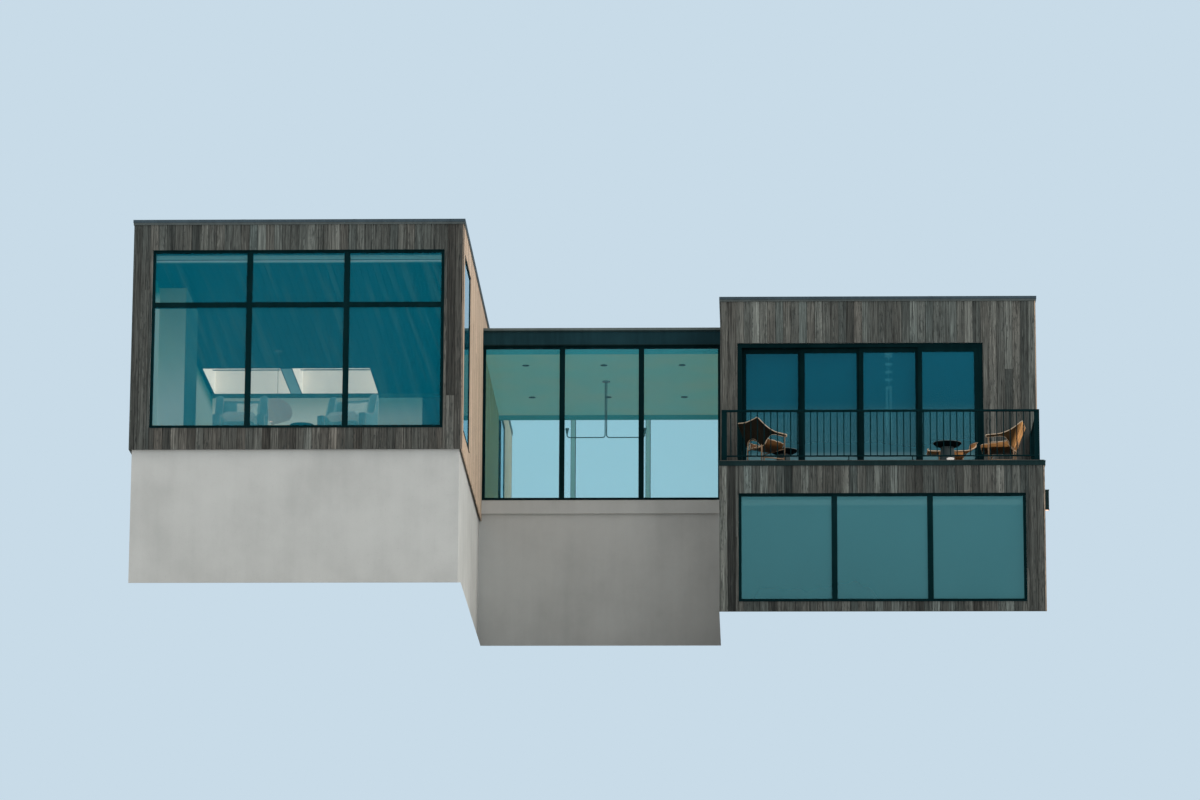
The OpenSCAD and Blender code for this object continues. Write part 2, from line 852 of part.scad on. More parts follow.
// Upper front wall of the right wing, behind the balcony
module right_upper_front_wall() {
    color(timber) place()
        wall_along_x([right_x0 + face, upper_y + face, floor_z],
            [right_x1 - face, upper_y + inside, right_seat_z],
            [[right_x0 + door_margin, doors_w, floor_z - 1, floor_z + door_h]]);
}

// Both storeys of a side wall of the right wing, between its inner and outer face
module right_side_wall(x0, x1, lower_window) {
    wall_along_y([x0, right_setback + inside, 0], [x1, right_y1 - inside, slab_z],
        lower_window ? [[rear_window_y, side_window_w, lower_sill_z, lower_head_z]] : []);
    wall_along_y([x0, upper_y + inside, floor_z], [x1, right_y1 - inside, right_seat_z],
        [[rear_window_y, side_window_w, floor_z - 1, floor_z + door_h]]);
}

// Side wall of the right wing that faces away from the link
module right_outer_wall() {
    color(timber) place() right_side_wall(right_x1 - inside, right_x1 - face, true);
}

// Side wall of the right wing that faces the link
module right_inner_wall() {
    color(timber) place() right_side_wall(right_x0 + face, right_x0 + inside, true);
}

// Back wall of the right wing in both storeys
module right_back_wall() {
    color(timber) place() {
        wall_along_x([right_x0 + face, right_y1 - inside, 0], [right_x1 - face, right_y1 - face, slab_z],
            [[right_x0 + front_margin, big_window_w, lower_sill_z, lower_head_z]]);
        wall_along_x([right_x0 + face, right_y1 - inside, floor_z],
            [right_x1 - face, right_y1 - face, right_seat_z],
            [[right_x0 + front_margin, big_window_w, floor_z - 1, floor_z + door_h]]);
    }
}

// Floor of the upper storey, which runs out under the balcony
module right_upper_floor() {
    color(concrete) place()
        block([right_x0 + face, right_setback + face, slab_z], [right_x1 - face, right_y1 - face, floor_z]);
}

// Metal edge round the balcony floor
module balcony_edge() {
    color(dark_metal) place() difference() {
        block([right_x0 - edge_out, right_setback - edge_out, floor_z - edge_h],
            [right_x1 + edge_out, upper_y, floor_z]);
        block([right_x0 + face, right_setback + face, floor_z - edge_h - 1],
            [right_x1 - face, upper_y + 1, floor_z + 1]);
    }
}

// Roof slab of the right wing
module right_roof() {
    color(roofing) place()
        block([right_x0 + inside, upper_y + inside, right_ceiling_z],
            [right_x1 - inside, right_y1 - inside, right_roof_z]);
}

// Roof edge trim of the right wing
module right_coping() {
    color(dark_metal) place() coping(right_x0, upper_y, right_x1, right_y1, right_top_z, coping_h);
}

// Frame of the lower front window
module right_lower_window() {
    color(dark_metal) place()
        translate([right_x0 + front_margin, right_setback + reveal, lower_sill_z])
            window_frame(big_window_w, lower_window_h, pane_count, false);
}

// One sliding leaf: two stiles and two rails round a pane
module door_leaf() {
    difference() {
        cube([leaf_w, leaf_t, leaf_h]);
        translate([stile_w, -1, leaf_rail_h])
            cube([leaf_w - 2 * stile_w, leaf_t + 2, leaf_h - 2 * leaf_rail_h]);
    }
}

// Puts a child on each door track, the left leaf on the innermost one
module on_tracks() {
    for (i = [0 : leaf_count - 1])
        translate([right_x0 + door_margin + door_frame_w + leaf_gap + i * (leaf_w - leaf_overlap),
            upper_y + reveal + track_gap + (leaf_count - 1 - i) * track_d,
            floor_z + door_frame_w + leaf_seat])
            children();
}

// Frame of the balcony doors and their four leaves
module balcony_doors() {
    color(dark_metal) place() {
        translate([right_x0 + door_margin, upper_y + reveal, floor_z]) difference() {
            cube([doors_w, door_frame_d, door_h]);
            translate([door_frame_w, -1, door_frame_w]) cube([doors_in_w, door_frame_d + 2, doors_in_h]);
        }
        on_tracks() door_leaf();
    }
}

// Windows of the right wing's back and sides
module right_other_windows() {
    color(dark_metal) place() {
        at_back(right_x0 + front_margin, right_y1 - reveal, big_window_w) {
            translate([0, 0, lower_sill_z]) window_frame(big_window_w, lower_window_h, pane_count, false);
            translate([0, 0, floor_z]) window_frame(big_window_w, door_h, pane_count, false);
        }
        on_left(right_x0 + reveal, rear_window_y, side_window_w) {
            translate([0, 0, lower_sill_z]) window_frame(side_window_w, lower_window_h, 1, false);
            translate([0, 0, floor_z]) window_frame(side_window_w, door_h, 1, false);
        }
        on_right(right_x1 - reveal, rear_window_y) {
            translate([0, 0, lower_sill_z]) window_frame(side_window_w, lower_window_h, 1, false);
            translate([0, 0, floor_z]) window_frame(side_window_w, door_h, 1, false);
        }
    }
}

// Panes of all the right wing's windows and doors
module right_glass() {
    color(glass) place() {
        translate([right_x0 + front_margin, right_setback + reveal, lower_sill_z])
            window_panes(big_window_w, lower_window_h, pane_count, false);
        on_tracks() translate([stile_w, (leaf_t - glass_t) / 2, leaf_rail_h])
            cube([leaf_w - 2 * stile_w, glass_t, leaf_h - 2 * leaf_rail_h]);
        at_back(right_x0 + front_margin, right_y1 - reveal, big_window_w) {
            translate([0, 0, lower_sill_z]) window_panes(big_window_w, lower_window_h, pane_count, false);
            translate([0, 0, floor_z]) window_panes(big_window_w, door_h, pane_count, false);
        }
        on_left(right_x0 + reveal, rear_window_y, side_window_w) {
            translate([0, 0, lower_sill_z]) window_panes(side_window_w, lower_window_h, 1, false);
            translate([0, 0, floor_z]) window_panes(side_window_w, door_h, 1, false);
        }
        on_right(right_x1 - reveal, rear_window_y) {
            translate([0, 0, lower_sill_z]) window_panes(side_window_w, lower_window_h, 1, false);
            translate([0, 0, floor_z]) window_panes(side_window_w, door_h, 1, false);
        }
    }
}

// A length of railing along X from 0 to length, on the middle of its width
module railing(length, bays) {
    low_z = low_rail_gap;
    bar_z = low_z + low_rail_t;
    gaps = round((length - post_w) / baluster_pitch);
    bar_step = (length - post_w) / gaps;
    union() {
        translate([0, -rail_w / 2, rail_h - rail_t]) cube([length, rail_w, rail_t]);
        translate([0, -baluster_d / 2, low_z]) cube([length, baluster_d, low_rail_t]);
        for (x = [0, length - post_w])
            translate([x, -baluster_d / 2, 0]) cube([post_w, baluster_d, rail_h - rail_t / 2]);
        for (i = [1 : gaps - 1])
            translate([post_w / 2 + i * bar_step - baluster_w / 2, -baluster_d / 2, bar_z - 1])
                cube([baluster_w, baluster_d, rail_h - rail_t - bar_z + 2]);
        if (bays > 1)
            for (i = [1 : bays - 1])
                translate([i * length / bays - baluster_w / 2, -baluster_d / 2, 0])
                    cube([baluster_w, baluster_d, low_z + 1]);
    }
}

// Railing along the front of the balcony
module railing_front() {
    color(dark_metal) place() translate([rail_x0, rail_y, floor_z])
        railing(rail_x1 - rail_x0, bay_count);
}

// Railings along both ends of the balcony
module railing_sides() {
    start_y = rail_y + rail_w / 2;
    color(dark_metal) place()
        for (x = [rail_x0 + rail_w / 2, rail_x1 - rail_w / 2])
            translate([x, start_y, floor_z]) rotate([0, 0, 90]) railing(upper_y + face - start_y, 2);
}

// Box lamp on the right wing's side wall, beside the lower window
module wall_lamp() {
    top_z = floor_z - lamp_drop;
    color(dark_metal) place()
        block([right_x1 - face, right_setback + lamp_y, top_z - lamp_h],
            [right_x1 + lamp_out, right_setback + lamp_y + lamp_w, top_z]);
}

// Lamp of spaced discs behind the balcony doors, with a bunch of rods under the lowest one
module layered_lamp() {
    low_z = right_ceiling_z - disc_drop - (disc_count - 1) * disc_pitch;
    rod_step = rod_l / (2 * rod_count);
    color(white) place() translate([right_x0 + disc_x, upper_y + disc_y, 0]) union() {
        hanging(0, 0, right_ceiling_z, right_ceiling_z - low_z);
        for (i = [0 : disc_count - 1])
            translate([0, 0, low_z + i * disc_pitch - disc_h / 2]) cylinder(d = disc_d, h = disc_h);
        for (i = [0 : rod_count - 1])
            rotate([0, 0, 360 * i / rod_count])
                translate([disc_d / 3, 0, low_z - rod_l + i * rod_step])
                    cylinder(d = rod_d, h = rod_l - i * rod_step);
    }
}

// A shape seen from its side, w wide along Y and centred on it
module side_shape(points, w) {
    translate([0, w / 2, 0]) rotate([90, 0, 0]) linear_extrude(height = w) polygon(points);
}

// A curved board: points along its upper face, then back along its lower face
module curved_board(points, t, w) {
    low = [for (i = [len(points) - 1 : -1 : 0]) [points[i][0], points[i][1] - t]];
    side_shape(concat(points, low), w);
}

// Points of the shell along one of its two edges, moved inwards by inset, from one arm to the other
function shell_line(half, inset) =
    let (last = len(half) - 1)
    [
        for (k = [-last : last])
            let (i = last - abs(k), side = k < 0 ? -1 : 1, turn = shell_facing[i])
            [
                half[i][0] * shell_l / 2 - inset * cos(turn),
                side * (half[i][1] * shell_w / 2 - inset * sin(turn)),
                seat_h + half[i][2] * (back_h - seat_h)
            ]
    ];

// The flared shell that forms a balcony chair's back and arms
module back_shell() {
    lines = [
        shell_line(shell_edge, 0), shell_line(shell_rim, 0),
        shell_line(shell_rim, shell_t), shell_line(shell_edge, shell_t)
    ];
    n = len(lines[0]);
    around = [
        for (row = [0 : 3], i = [0 : n - 2])
            let (next = (row + 1) % 4)
            [row * n + i, next * n + i, next * n + i + 1, row * n + i + 1]
    ];
    polyhedron(
        points = [for (line = lines, p = line) p],
        faces = concat(around, [[3 * n, 2 * n, n, 0], [n - 1, 2 * n - 1, 3 * n - 1, 4 * n - 1]]),
        convexity = 6
    );
}

// A seat bent up into a wing on either side, with a rounded outline
module winged_seat() {
    front = front_leg_x + leg_d / 2;
    wide = seat_half_w + seat_t;
    upper = [for (p = wing_curve) [p[0] * seat_half_w, p[1] * seat_wing_h]];
    lower = [for (p = wing_curve) [p[0] * wide, p[1] * seat_wing_h - (1 - p[1]) * seat_t]];
    last = len(wing_curve) - 1;
    outline = concat(
        [for (i = [last : -1 : 1]) [-upper[i][0], upper[i][1]]], upper,
        [for (i = [last : -1 : 0]) lower[i]],
        [for (i = [1 : last]) [-lower[i][0], lower[i][1]]]
    );
    intersection() {
        translate([-front, 0, seat_h]) rotate([90, 0, 90])
            linear_extrude(height = front + seat_r - seat_shift) polygon(outline);
        translate([-seat_shift, 0, seat_h - 2 * seat_t])
            cylinder(r = seat_r, h = 2 * seat_wing_h, $fn = shell_fn);
        side_shape([
            [-seat_r, seat_h - 2 * seat_t], [seat_r, seat_h - 2 * seat_t], [seat_r, seat_h + seat_wing_h],
            [-seat_r, seat_h + seat_wing_h * wing_front]
        ], 3 * wide);
    }
}

// A balcony chair that faces -X, with its middle on the origin
module balcony_chair() {
    arm_y = shell_w / 2 * shell_edge[0][1] - shell_t;
    arm_z = seat_h + (back_h - seat_h) * (shell_edge[0][2] + shell_rim[0][2]) / 2;
    union() {
        back_shell();
        winged_seat();
        for (side = [-1, 1]) {
            translate([-front_leg_x, side * arm_y, 0]) cylinder(d = leg_d, h = arm_z);
            translate([rear_leg_x, side * rear_leg_y, 0]) cylinder(d = leg_d, h = seat_h + 2 * leg_d);
        }
        for (bar = [[-front_leg_x, arm_y], [rear_leg_x, rear_leg_y]])
            translate([bar[0], bar[1], seat_h - seat_t]) rotate([90, 0, 0])
                cylinder(d = cross_bar_d, h = 2 * bar[1]);
    }
}

// A low footstool whose curved seat turns up at its ends, with its middle on the origin
module footstool() {
    end_x = stool_l / 2;
    leg_x = end_x / 2;
    leg_y = stool_w / 2 - leg_d;
    union() {
        curved_board([
            [-end_x, seat_h + stool_rise / 4], [-end_x + 2 * seat_t, seat_h], [leg_x, seat_h],
            [end_x * 4 / 5, seat_h + stool_rise / 5], [end_x - seat_t, seat_h + stool_rise / 2],
            [end_x, seat_h + stool_rise]
        ], seat_t, stool_w);
        for (y = [-stool_w / 2, stool_w / 2 - shell_t])
            block([-leg_x, y, seat_h - stool_side_h], [leg_x + leg_d, y + shell_t, seat_h - seat_t / 2]);
        for (x = [-leg_x, leg_x], y = [-leg_y, leg_y])
            translate([x, y, 0]) cylinder(d = leg_d, h = seat_h - seat_t / 2);
    }
}

// The two chairs and the footstool on the balcony
module balcony_chairs() {
    color(leather) place() translate([right_x0, right_setback, floor_z]) {
        translate([left_chair_x, left_chair_y, 0]) rotate([0, 0, left_chair_turn]) balcony_chair();
        translate([right_chair_x, chairs_y, 0]) rotate([0, 0, right_chair_turn]) balcony_chair();
        translate([stool_x, stool_y, 0]) footstool();
    }
}

// A round table on a tapered pedestal
module round_table(d, h) {
    union() {
        cylinder(d1 = pedestal_low_d, d2 = pedestal_top_d, h = h - table_t);
        translate([0, 0, h - table_t]) cylinder(d1 = d - table_t, d2 = d, h = table_t);
    }
}

// Two round tables on the balcony
module balcony_tables() {
    color(dark_metal) place()
        for (spot = [[left_table_x, left_table_y], [right_table_x, right_table_y]])
            translate([right_x0 + spot[0], right_setback + spot[1], floor_z]) round_table(table_d, table_h);
}

// Low round table between the wing chairs
module room_table() {
    color(dark_metal) place() translate([inside + low_table_x, inside + low_table_y, floor_z])
        round_table(low_table_d, low_table_h);
}

// A block with rounded upright corners
module soft_block(a, b, r) {
    block([a[0] + r, a[1], a[2]], [b[0] - r, b[1], b[2]]);
    block([a[0], a[1] + r, a[2]], [b[0], b[1] - r, b[2]]);
    for (x = [a[0] + r, b[0] - r], y = [a[1] + r, b[1] - r])
        translate([x, y, a[2]]) cylinder(r = r, h = b[2] - a[2]);
}

// A wing chair that faces -Y, with a loose seat cushion and a loose pillow, its middle on the origin
module wing_chair() {
    r = sofa_t / 4;
    back_y = sofa_d - sofa_t;
    pad_z = sofa_seat_h + cushion_gap;
    translate([-wing_chair_w / 2, -sofa_d / 2, 0]) {
        union() {
            soft_block([0, 0, foot_h], [wing_chair_w, sofa_d, sofa_seat_h], r);
            soft_block([0, back_y, foot_h], [wing_chair_w, sofa_d, sofa_back_h], r);
            for (x = [0, wing_chair_w - sofa_t])
                translate([x, 0, 0]) rotate([90, 0, 90]) linear_extrude(height = sofa_t) polygon([
                    [0, foot_h], [back_y + r, foot_h], [back_y + r, sofa_back_h], [back_y - r, sofa_back_h],
                    [back_y - sofa_t, sofa_arm_h + sofa_t], [back_y / 2, sofa_arm_h + r], [0, sofa_arm_h]
                ]);
            for (x = [sofa_t, wing_chair_w - sofa_t], y = [sofa_t, back_y])
                translate([x, y, 0]) cylinder(d = leg_d, h = foot_h + 1);
        }
        soft_block([sofa_t + cushion_gap, 0, pad_z],
            [wing_chair_w - sofa_t - cushion_gap, back_y - cushion_gap, pad_z + seat_pad_h], r);
        translate([(wing_chair_w - pillow_w) / 2 + pillow_shift, back_y - cushion_gap - pillow_t,
                pad_z + seat_pad_h + cushion_gap])
            soft_block([0, 0, 0], [pillow_w, pillow_t, pillow_h], r);
    }
}

// The two wing chairs of the left wing's front room
module room_chairs() {
    color(fabric) place() translate([inside, inside + sofa_y, floor_z]) {
        translate([sofa_a_x, 0, 0]) wing_chair();
        translate([sofa_b_x, 0, 0]) rotate([0, 0, wing_chair_turn]) wing_chair();
    }
}

left_foundation();
left_floor();
left_front_wall();
left_outer_wall();
left_inner_wall();
left_back_wall();
left_roof();
left_coping();
left_room_wall();
left_return_wall();
left_front_window();
left_back_window();
left_side_windows();
left_glass();
rooflight_kerbs();
rooflight_glass();
ball_lamp();
blind_box();
link_foundation();
link_floor();
link_roof();
link_coping();
link_front_window();
link_back_window();
link_glass();
branch_lamp();
ceiling_spots();
right_ground_floor();
right_lower_front_wall();
right_upper_front_wall();
right_outer_wall();
right_inner_wall();
right_back_wall();
right_upper_floor();
balcony_edge();
right_roof();
right_coping();
right_lower_window();
balcony_doors();
right_other_windows();
right_glass();
railing_front();
railing_sides();
wall_lamp();
layered_lamp();
balcony_chairs();
balcony_tables();
room_chairs();
room_table();
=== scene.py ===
"""Looks of the beach house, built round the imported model. Lengths are in metres, in the model's own frame."""

import itertools
import math
import random

import bpy
from mathutils import Matrix, Vector


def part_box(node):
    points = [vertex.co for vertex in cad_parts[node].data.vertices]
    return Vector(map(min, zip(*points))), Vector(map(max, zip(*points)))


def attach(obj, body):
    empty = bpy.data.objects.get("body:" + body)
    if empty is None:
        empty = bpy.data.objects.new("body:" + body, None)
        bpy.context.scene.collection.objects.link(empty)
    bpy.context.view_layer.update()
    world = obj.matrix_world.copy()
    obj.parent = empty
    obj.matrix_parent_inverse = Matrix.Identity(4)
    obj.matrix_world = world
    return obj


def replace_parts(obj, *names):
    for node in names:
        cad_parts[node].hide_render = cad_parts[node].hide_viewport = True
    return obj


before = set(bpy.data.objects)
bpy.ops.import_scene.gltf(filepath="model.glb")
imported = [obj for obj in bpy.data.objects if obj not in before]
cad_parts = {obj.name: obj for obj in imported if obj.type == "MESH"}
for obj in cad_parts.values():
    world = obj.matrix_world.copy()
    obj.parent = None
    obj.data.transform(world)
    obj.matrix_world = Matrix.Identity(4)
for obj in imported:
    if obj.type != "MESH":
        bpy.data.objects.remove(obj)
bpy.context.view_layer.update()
scene = bpy.context.scene
rng = random.Random(7)

# Sizes that the solids share
BOARD_SPACE, WALL_T = 0.025, 0.245
COPING_H, COPING_OVER, DECK_EDGE_H = 0.1, 0.012, 0.1
REVEAL, SIDE_REVEAL, FRAME_D = 0.035, 0.005, 0.12
GLASS_BACK, GLASS_T = 0.015, 0.028
BAR, MULLION, TRANSOM_H, TRANSOM_Z = 0.055, 0.104, 0.096, 2.59
FRONT_MARGIN, BIG_WINDOW_W, SIDE_WINDOW_W, SIDE_WINDOW_Y = 0.4, 6.0, 2.0, (0.45, 14.7)
LEAVES, LEAF_T, TRACK_GAP, DOOR_FRAME, STILE, OVERLAP = 4, 0.045, 0.004, 0.095, 0.09, 0.035
ROOFLIGHT_W, ROOFLIGHT_D, ROOFLIGHT_PITCH, KERB_T = 1.75, 2.5, 2.015, 0.06

# The camera of the photograph, found from the house's own corners: place, pitch, yaw, roll and lens
CAMERA_PLACE = (3.427, -109.08, -19.08)
CAMERA_TURNS = (12.974, 1.888, 0.270)
CAMERA_LENS = 150.0

# Light and background
SKY_SEEN = (0.578, 0.708, 0.807)
SKY_LIGHT = (0.93, 0.97, 1.0)
SKY_STRENGTH = 0.85
FLOOR_COLOUR = (0.80, 0.81, 0.80)

# Boards of the walls: sizes, butt joints, and tones as factors
BOARD_T, BOARD_T_SPREAD, BOARD_PITCH, NARROWEST = 0.022, 0.0012, 0.17, 0.004
GROOVE, GROOVE_D = 0.0035, 0.013
SKIRT_H, FOOT_BOARD_H = 0.45, 1.0
JOINT_CHANCE, JOINT_WALL_H, JOINT_MARGIN = 0.4, 3.0, 0.8
PALE_CHANCE, PALE_TONE, TONE_LIMIT = 0.07, 1.35, 2.1

# Boards of floors and ceilings, linings, and the gaps round what lines a room
FLOOR_PITCH, SIDE_JOINT, PLANK_T, DECK_BOARD_T = 0.14, 0.003, 0.006, 0.018
LINING, SHAFT_LINING, GAP = 0.012, 0.01, 0.004


def low(node):
    """Lowest corner of a node's box."""
    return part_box(node)[0]


def high(node):
    """Highest corner of a node's box."""
    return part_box(node)[1]


def outside(node):
    """Left, right, front and back of a floor or wall, moved out by the space for its boards."""
    lo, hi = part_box(node)
    return lo.x - BOARD_SPACE, hi.x + BOARD_SPACE, lo.y - BOARD_SPACE, hi.y + BOARD_SPACE


FLOOR_Z = high("left_floor").z
LEFT_X0, LEFT_X1, LEFT_Y0, LEFT_Y1 = outside("left_floor")
LEFT_TOP, LEFT_CEILING, LEFT_ROOF = high("left_coping").z, low("left_roof").z, high("left_roof").z
RIGHT_X0, RIGHT_X1, RIGHT_Y0, RIGHT_Y1 = outside("right_upper_floor")
UPPER_Y0 = outside("right_upper_front_wall")[2]
RIGHT_TOP, RIGHT_ROOF = high("right_coping").z, high("right_roof").z
LINK_Y0, LINK_Y1 = low("link_floor").y, high("link_floor").y
LINK_CEILING, LINK_ROOF, LINK_TOP = low("link_roof").z, low("link_coping").z, high("link_coping").z
LINK_HEAD, LINK_BACK_HEAD = high("link_front_window").z, high("link_back_window").z
LOWER_SILL, LOWER_HEAD = low("right_lower_window").z, high("right_lower_window").z
DOOR_HEAD = high("balcony_doors").z
WING_W = LEFT_X1 - LEFT_X0
LINK_W = RIGHT_X0 - LEFT_X1
CEILING_LOW = LEFT_CEILING - LINING


def scaled(colour, factor):
    return tuple(c * factor for c in colour)


class Nodes:
    """A short way to write a shader: add makes a node and sets its inputs, by name or number."""

    def __init__(self, name, owner=None):
        self.owner = owner or bpy.data.materials.new(name)
        self.owner.use_nodes = True
        self.tree = self.owner.node_tree
        self.tree.nodes.clear()

    def add(self, kind, inputs=None, **settings):
        node = self.tree.nodes.new("ShaderNode" + kind)
        for key, value in settings.items():
            setattr(node, key, value)
        for key, value in (inputs or {}).items():
            socket = node.inputs[key]
            if isinstance(value, bpy.types.NodeSocket):
                self.tree.links.new(value, socket)
            elif socket.type == "RGBA":
                socket.default_value = (*value, 1.0)
            else:
                socket.default_value = value
        return node

    def math(self, operation, a, b=0.0, c=0.0):
        return self.add("Math", {0: a, 1: b, 2: c}, operation=operation).outputs[0]

    def blend(self, a, share, b):
        """Weighted sum of two values."""
        return self.math("MULTIPLY_ADD", a, share, self.math("MULTIPLY", b, 1.0 - share))

    def of_face(self, name, output="Fac"):
        """A value that the mesh holds for each of its faces."""
        return self.add("Attribute", attribute_name=name).outputs[output]

    def along(self, axis):
        """Object coordinate along an axis."""
        return self.add("SeparateXYZ", {0: self.add("TexCoord").outputs["Object"]}).outputs[axis]

    def place(self, scale=1.0, shift=None):
        """Object coordinates stretched by scale, moved by a socket when one is given."""
        inputs = {"Vector": self.add("TexCoord").outputs["Object"]}
        inputs["Scale"] = (scale,) * 3 if isinstance(scale, float) else scale
        if shift is not None:
            inputs["Location"] = shift
        return self.add("Mapping", inputs).outputs[0]

    def noise(self, scale, detail=3.0, roughness=0.5, distortion=0.0, shift=None):
        inputs = {"Vector": self.place(scale, shift), "Scale": 1.0, "Detail": detail}
        inputs.update({"Roughness": roughness, "Distortion": distortion})
        return self.add("TexNoise", inputs).outputs["Fac"]

    def ramp(self, fac, *stops):
        node = self.add("ValToRGB", {"Fac": fac})
        while len(node.color_ramp.elements) < len(stops):
            node.color_ramp.elements.new(0.5)
        for element, (place, colour) in zip(node.color_ramp.elements, stops):
            element.position = place
            element.color = (*(colour if isinstance(colour, tuple) else (colour,) * 3), 1.0)
        return node.outputs["Color"]

    def by_height(self, stops):
        """Colours between heights above the base, lowest first."""
        start, reach = stops[0][0], stops[-1][0] - stops[0][0]
        level = self.math("DIVIDE", self.math("SUBTRACT", self.along("Z"), start), reach)
        return self.ramp(level, *(((z - start) / reach, colour) for z, colour in stops))

    def mix(self, fac, a, b, blend="MIX"):
        return self.add("Mix", {0: fac, 6: a, 7: b}, data_type="RGBA", blend_type=blend).outputs[2]

    def fade(self, value, start, end, a, b):
        """From colour a to colour b while a value runs from start to end."""
        return self.mix(self.ramp(value, (start, 0.0), (end, 1.0)), a, b)

    def darken(self, colour, strength, value, *stops):
        return self.mix(strength, colour, self.ramp(value, *stops), "MULTIPLY")

    def times(self, colour, factor):
        return self.add("VectorMath", {0: colour, "Scale": factor}, operation="SCALE").outputs[0]

    def bump(self, height, strength, distance):
        inputs = {"Height": height, "Strength": strength, "Distance": distance}
        return self.add("Bump", inputs).outputs["Normal"]

    def shader(self, kind, **inputs):
        return self.add(kind, inputs).outputs[0]

    def either(self, fac, a, b):
        return self.add("MixShader", {"Fac": fac, 1: a, 2: b}).outputs[0]

    def surface(self, colour, roughness, normal, specular=0.5, glow=None, strength=1.0, **more):
        """Ends the material in a Principled shader, which glows in a colour when one is given."""
        inputs = {"Base Color": colour, "Roughness": roughness, "Normal": normal, **more}
        inputs["Specular IOR Level"] = specular
        if glow:
            inputs.update({"Emission Color": glow, "Emission Strength": strength})
        return self.finish(self.add("BsdfPrincipled", inputs).outputs[0])

    def finish(self, shader, end="OutputMaterial"):
        self.add(end, {"Surface": shader})
        return self.owner


def make_boards(name, cool, warm, fibre_depth):
    """Weathered upright boards. Each board's own tone, tint and shift come from the mesh."""
    n = Nodes(name)
    shift = n.of_face("shift", "Vector")
    streaks = n.noise((42.0, 42.0, 0.55), 4.0, 0.66, 0.0, shift)
    figure = n.noise((26.0, 26.0, 1.1), 3.0, 0.6, 2.4, shift)
    fine = n.noise((260.0, 260.0, 9.0), 3.0, 0.6, 0.0, shift)
    flecks = n.noise((60.0, 60.0, 9.0), 2.0, 0.55, 0.6, shift)
    rows = n.noise((13.0, 13.0, 0.35), 1.0, 0.5, 0.0, shift)
    cloud = n.noise((2.2, 2.2, 0.8), 3.0, 0.6, 0.0, shift)
    warmth = n.math("MULTIPLY_ADD", cloud, 0.5, n.math("SUBTRACT", n.of_face("tint"), 0.25))
    colour = n.mix(warmth, cool, warm)
    stops = [(0.37, 0.5 - fibre_depth * 1.1), (0.5, 0.5), (0.63, 0.5 + fibre_depth * 1.25)]
    fibre = n.ramp(n.blend(streaks, 0.55, figure), *stops)
    colour = n.times(colour, n.math("MULTIPLY", n.math("MULTIPLY", n.of_face("tone"), 2.0), fibre))
    in_rows = n.ramp(rows, (0.47, 0.0), (0.56, 0.75))
    fleck = n.math("MULTIPLY", n.ramp(flecks, (0.54, 0.0), (0.64, 1.0)), in_rows)
    colour = n.mix(fleck, colour, scaled(cool, 0.28))
    knots = n.add("TexVoronoi", {"Vector": n.place((6.2, 6.2, 1.25), shift), "Scale": 1.0})
    knot = n.ramp(knots.outputs["Distance"], (0.0, 0.85), (0.06, 0.6), (0.12, 0.0))
    colour = n.mix(knot, colour, scaled(cool, 0.2))
    grain = n.blend(fine, 0.6, figure)
    colour = n.darken(colour, 0.3, grain, (0.3, 0.5), (0.6, 1.0))
    return n.surface(colour, n.math("MULTIPLY_ADD", fine, 0.15, 0.74), n.bump(grain, 0.5, 0.003), 0.2)


def make_metal(name, colour, roughness=0.5, specular=0.2):
    """Powder-coated metal with a faint orange peel, rain marks and an uneven sheen."""
    n = Nodes(name)
    cloud = n.noise(1.6, 4.0)
    level = n.blend(n.noise((9.0, 9.0, 0.7), 4.0, 0.6), 0.5, cloud)
    base = n.fade(level, 0.4, 0.62, colour, tuple(c * 1.35 + 0.002 for c in colour))
    rough = n.math("MULTIPLY_ADD", cloud, 0.14, roughness - 0.07)
    return n.surface(base, rough, n.bump(n.noise(260.0, 2.0), 0.08, 0.0006), specular)


def make_plaster(name, colour, glow, other=None):
    """Painted plaster with a faint roller texture and clouds of another tone. glow is painted daylight, an
    emission that stands in for the light its room holds: a share of its own colour, or a list of colours by
    height."""
    n = Nodes(name)
    base = n.fade(n.noise(0.9), 0.35, 0.65, other or scaled(colour, 0.94), colour)
    shine = (n.by_height(glow), 1.0) if isinstance(glow, list) else (base, glow)
    return n.surface(base, 0.8, n.bump(n.noise(180.0), 0.12, 0.001), 0.15, *shine)


def make_concrete(name, colour):
    """Cast concrete with pores, faint clouds and a few water marks."""
    n = Nodes(name)
    pores = n.noise(45.0, 3.0, 0.7)
    level = n.blend(n.noise(0.6, 6.0, 0.6), 0.75, n.noise((3.0, 3.0, 0.3), 4.0, 0.6))
    base = n.ramp(level, (0.35, scaled(colour, 0.86)), (0.55, colour), (0.7, scaled(colour, 1.07)))
    base = n.darken(base, 0.35, pores, (0.28, 0.6), (0.4, 1.0))
    height = n.math("MULTIPLY_ADD", pores, 0.6, n.noise(160.0, 2.0, 0.6))
    return n.surface(base, 0.86, n.bump(height, 0.35, 0.002), 0.2)


def make_wood(name, dark, pale, along, gloss):
    """Oiled wood with long fibres; along says which way they run. Each face's tone comes from the mesh."""
    n = Nodes(name)
    fine = n.noise(scaled(along, 4.0), 3.0, 0.6)
    level = n.blend(n.noise(along, 5.0, 0.6, 0.6), 0.75, fine)
    colour = n.times(n.ramp(level, (0.32, dark), (0.66, pale)), n.of_face("tone"))
    return n.surface(colour, 0.5, n.bump(fine, 0.2, 0.001), gloss)


